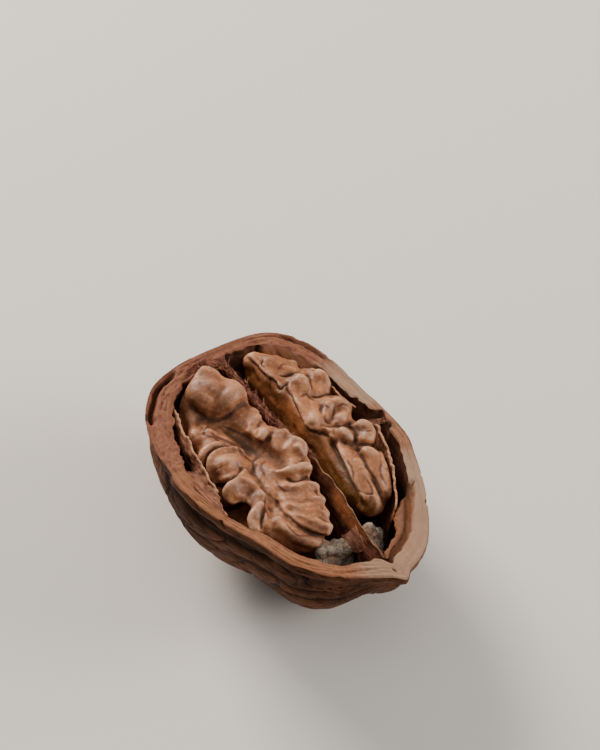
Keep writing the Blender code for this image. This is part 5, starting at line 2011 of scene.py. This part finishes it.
# Veins
RIGHT_VEINS = strokes("""
0.36 0.8: -13.3 6.5 0.4, -13.8 8 0, -12.9 8.9 -0.1
0.36 0.8: -8.4 6.2 0, -8.6 7.5 -0.2, -7.3 7.9 -0.2
0.36 0.8: -5.7 7.6 -0.3, -5.7 8.3 -0.1, -5 8.9 -0.2
0.36 0.8: -5 9.6 -0.1, -5.1 10.5 -0.1, -4.5 11 -0.3
0.36 0.8: -1.5 10.2 -0.4, -0.3 10.1 -0.2, 0.3 10.8 -0.2
0.36 0.8: 2.5 5.7 -0.6, 3.8 5.4 -0.7, 5.1 4.9 -0.9
0.36 0.8: 6 6.1 -0.9, 7.8 5.6 -1.2, 8.6 4.7 -1.6
0.36 0.8: 4.9 9 -0.7, 6.3 8.2 -0.9, 7.7 7.9 -1.2
""")

# Flaps of lining: name, outer line, inner line, sag, thickness, tear, pattern
SHELVES = (
    (
        "left_lining_flap",
        ((-5.6, -13.0, -0.5), (-3.4, -13.6, -0.25), (-1.0, -13.6, -0.2), (1.4, -13.3, -0.2),
         (3.4, -12.8, -0.2)),
        ((-4.6, -11.4, -1.0), (-2.2, -11.1, -0.5), (-0.4, -11.5, -0.4), (1.2, -12.2, -0.4),
         (3.2, -12.7, -0.3)),
        0.25, 0.25, 0.2, 21,
    ),
    (
        "far_lining_edge",
        ((-9.6, 12.0, -2.2), (-8.3, 12.1, -2.2), (-6.1, 12.2, -2.2), (-4.4, 12.5, -2.2)),
        ((-9.4, 11.9, -0.9), (-8.1, 11.7, -0.6), (-6.0, 11.7, -0.55), (-4.4, 12.3, -0.7)),
        0.1, 0.2, 0.15, 22,
    ),
    (
        "papery_bridge",
        ((-2.2, 12.7, -0.9), (-1.8, 13.2, -0.8), (-1.5, 13.8, -0.7), (-1.4, 14.4, -0.6), (-1.3, 15.1, -0.5)),
        ((-1.5, 12.6, -1.0), (-0.9, 12.7, -0.9), (-0.9, 13.2, -0.8), (-0.7, 13.7, -0.7), (-0.1, 14.1, -0.5)),
        0.2, 0.3, 0.2, 23,
    ),
    (
        "fibrous_web",
        ((10.6, -0.9, -2.5), (11.6, -1.2, -2.7), (12.6, -1.3, -3.0)),
        ((10.8, 0.8, -1.5), (12.4, 0.6, -1.8), (13.8, 0.4, -2.6)),
        0.35, 0.18, 0.15, 24,
    ),
)

# The spongy tissue from its foot up, and where it spreads along the lobes' ends: (x, y, z, radius)
LEFT_TISSUE = (
    (12.1, -4.6, -4.8, 1.2), (12.1, -3.0, -4.6, 1.3), (11.4, -1.4, -4.3, 1.3), (11.2, -0.2, -4.4, 1.1),
    (12.2, -1.6, -6.2, 1.7), (12.1, -1.7, -7.8, 1.8), (11.8, -1.6, -9.7, 1.8),
    (11.2, -4.2, -3.1, 0.7), (10.5, -3.3, -2.9, 0.7), (11.6, -3.4, -3.0, 0.7), (11.0, -2.3, -2.9, 0.75),
    (12.0, -2.3, -3.1, 0.75), (11.3, -1.3, -2.9, 0.7), (12.2, -1.2, -3.2, 0.8), (12.1, -2.4, -4.0, 0.9),
)
RIGHT_TISSUE = (
    (13.4, 2.8, -5.2, 0.9), (12.3, 3.4, -4.7, 1.1), (11.1, 4.2, -4.5, 1.1), (11.4, 3.9, -6.6, 1.5),
    (10.8, 4.0, -8.2, 1.7), (10.4, 4.0, -9.6, 1.7),
    (10.9, 3.2, -3.3, 0.9), (11.8, 3.1, -3.6, 0.9), (12.8, 2.8, -4.2, 0.9), (12.6, 3.0, -5.6, 1.1),
)

# Loose fibres: name, path, count, length, spread, thickness, pattern
FIBRES = (
    (
        "partition_fibres",
        ((-18.2, 1.9, -0.7), (-14.0, 2.0, -0.9), (-8.0, 2.3, -1.3), (-2.0, 2.6, -1.2), (-0.5, 2.5, -1.0)),
        460, (0.4, 1.5), (0.3, 0.45, 0.4), 0.1, 31,
    ),
    (
        "left_rim_fibres",
        ((-19.0, -2.5, -0.1), (-17.2, -6.6, -0.1), (-14.6, -9.2, -0.1), (-11.0, -11.4, -0.1),
         (-7.0, -12.8, -0.1)),
        70, (0.6, 1.6), (0.5, 0.5, 0.08), 0.08, 32,
    ),
    (
        "stalk_fibres",
        ((-18.7, -3.0, -0.1), (-18.7, -1.2, -0.1), (-18.4, 0.2, -0.1), (-17.8, 1.1, -0.2), (-16.8, 1.7, -0.5)),
        150, (0.6, 1.7), (0.6, 0.6, 0.1), 0.11, 34, 0.1,
    ),
    (
        "tip_fibres",
        ((9.0, 1.2, -0.9), (12.0, 0.8, -1.0), (15.0, 0.5, -0.8), (17.6, 0.1, -0.6)),
        26, (0.5, 1.4), (0.3, 0.2, 0.5), 0.07, 33,
    ),
)


@dataclass
class WalnutHalf:
    """Every piece of the half nut, with its finish and the solid that it stands for."""

    form: NutForm = field(default_factory=NutForm)
    lie: Lie = field(default_factory=Lie)

    def linings(self) -> list:
        """The two scraps of lining that stand off the wall.

        Returns:
            The left and the right one.
        """
        left = ((-14.6, -8.4), (-10.4, -9.9), (-7.4, -10.7), (-3.8, -11.4), (-0.4, -12.0))
        right = ((-0.6, 12.7), (2.6, 11.7), (6.4, 9.9), (9.4, 8.2), (11.4, 6.6))
        return [
            PaperyLining(self.form, "left_lining_sheet", "lining_left", left,
                         (-0.5, -0.1, 0.1, 0.0, -0.3), 6.0, 1.0, rag=0.22, seed=11),
            PaperyLining(self.form, "right_lining_sheet", "lining_right", right,
                         (-0.2, 0.1, 0.0, -0.3, -0.8), 6.5, -0.9, rag=0.30, seed=12),
        ]

    def lobes(self, linings: list) -> list:
        """The two lobes of the kernel, each beside its lining.

        Args:
            linings: the left and the right one.

        Returns:
            The left and the right lobe.
        """
        left_cores = (((-3.6, -4.6, -8.0), (12.8, 6.6, 5.0)), ((-12.0, -3.2, -5.8), (6.0, 4.6, 4.2)))
        right_cores = (((-5.4, 7.6, -7.0), (11.4, 5.4, 5.0)),)
        wall = ((-18.0, 4.4), (-16.0, 4.3), (-11.0, 4.8), (-8.0, 4.9), (-4.2, 4.5), (-1.8, 4.9), (3.4, 4.3),
                (8.4, 3.4), (12.0, 2.6))
        return [
            KernelLobe(self.form, Side.LEFT, "left_kernel", "kernel_lobe_left", LEFT_FOLDS, left_cores, 5,
                       linings[0], (), LEFT_RIDGES, LEFT_GROOVES, LEFT_PITS, LEFT_VEINS),
            KernelLobe(self.form, Side.RIGHT, "right_kernel", "kernel_lobe_right", RIGHT_FOLDS, right_cores,
                       8, linings[1], wall, RIGHT_RIDGES, RIGHT_GROOVES, (), RIGHT_VEINS),
        ]

    def build(self) -> None:
        """Builds, dresses and places every piece."""
        shell = WoodyShellFinish("matt_nutshell_wood", 0.62).material()
        skin = SeedSkinFinish("satin_seed_skin", 0.5).material()
        paper = PaperyFinish("papery_lining", 0.7).material()
        fibrous = PaperyFinish("fibrous_partition", 0.78, "74432D", "38190F", "94704F", (6, 1, 1)).material()
        strands = PaperyFinish("torn_fibres", 0.74, "A36C55", "5A3023", "A87C5E", (2, 2, 2)).material()
        sponge = SpongyFinish("spongy_tissue", 0.85).material()
        linings = self.linings()
        self.add(WoodyShell(self.form).build(), shell, "shell", "shell_half")
        for lobe in self.lobes(linings):
            self.add(lobe.build(), skin, "kernel", lobe.node)
        self.add(Partition(self.form).build(), fibrous, "partition", "partition")
        for lining in linings:
            self.add(lining.build(), paper, "lining", lining.node)
        for tissue in (SpongyTissue("left_tissue", "packing_left", LEFT_TISSUE, 3),
                       SpongyTissue("right_tissue", "packing_right", RIGHT_TISSUE, 4)):
            self.add(tissue.build(), sponge, "packing", tissue.node)
        for shelf in SHELVES:
            self.add(LiningShelf(*shelf).build(), paper, "lining", None)
        for fibres in FIBRES:
            self.add(Fibres(*fibres).build(), strands, "partition", None)

    def add(self, obj: Piece, material: bpy.types.Material, slot: str, node: str | None) -> None:
        """Dresses a piece, sets it in place and hands it to the frame.

        Args:
            obj: the piece, in millimetres in the nut's frame.
            material: its finish.
            slot: the record's slot for that finish; not used.
            node: the solid that it stands for, or None for a scrap of its own.
        """
        obj.data.materials.clear()
        obj.data.materials.append(material)
        self.lie.settle(obj)
        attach(obj, "root")
        if node:
            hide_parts(node)
        obj.data.calc_loop_triangles()
        LOG.info("%s: %d triangles", obj.name, len(obj.data.loop_triangles))


def main() -> None:
    """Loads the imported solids, builds the half nut over them and sets up the studio."""
    logging.basicConfig(level=logging.INFO, format="%(message)s")
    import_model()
    half = WalnutHalf()
    half.build()
    studio = Studio()
    studio.floor()
    studio.light()
    studio.camera(half.lie)
    bpy.context.view_layer.update()


if __name__ == "__main__":
    main()
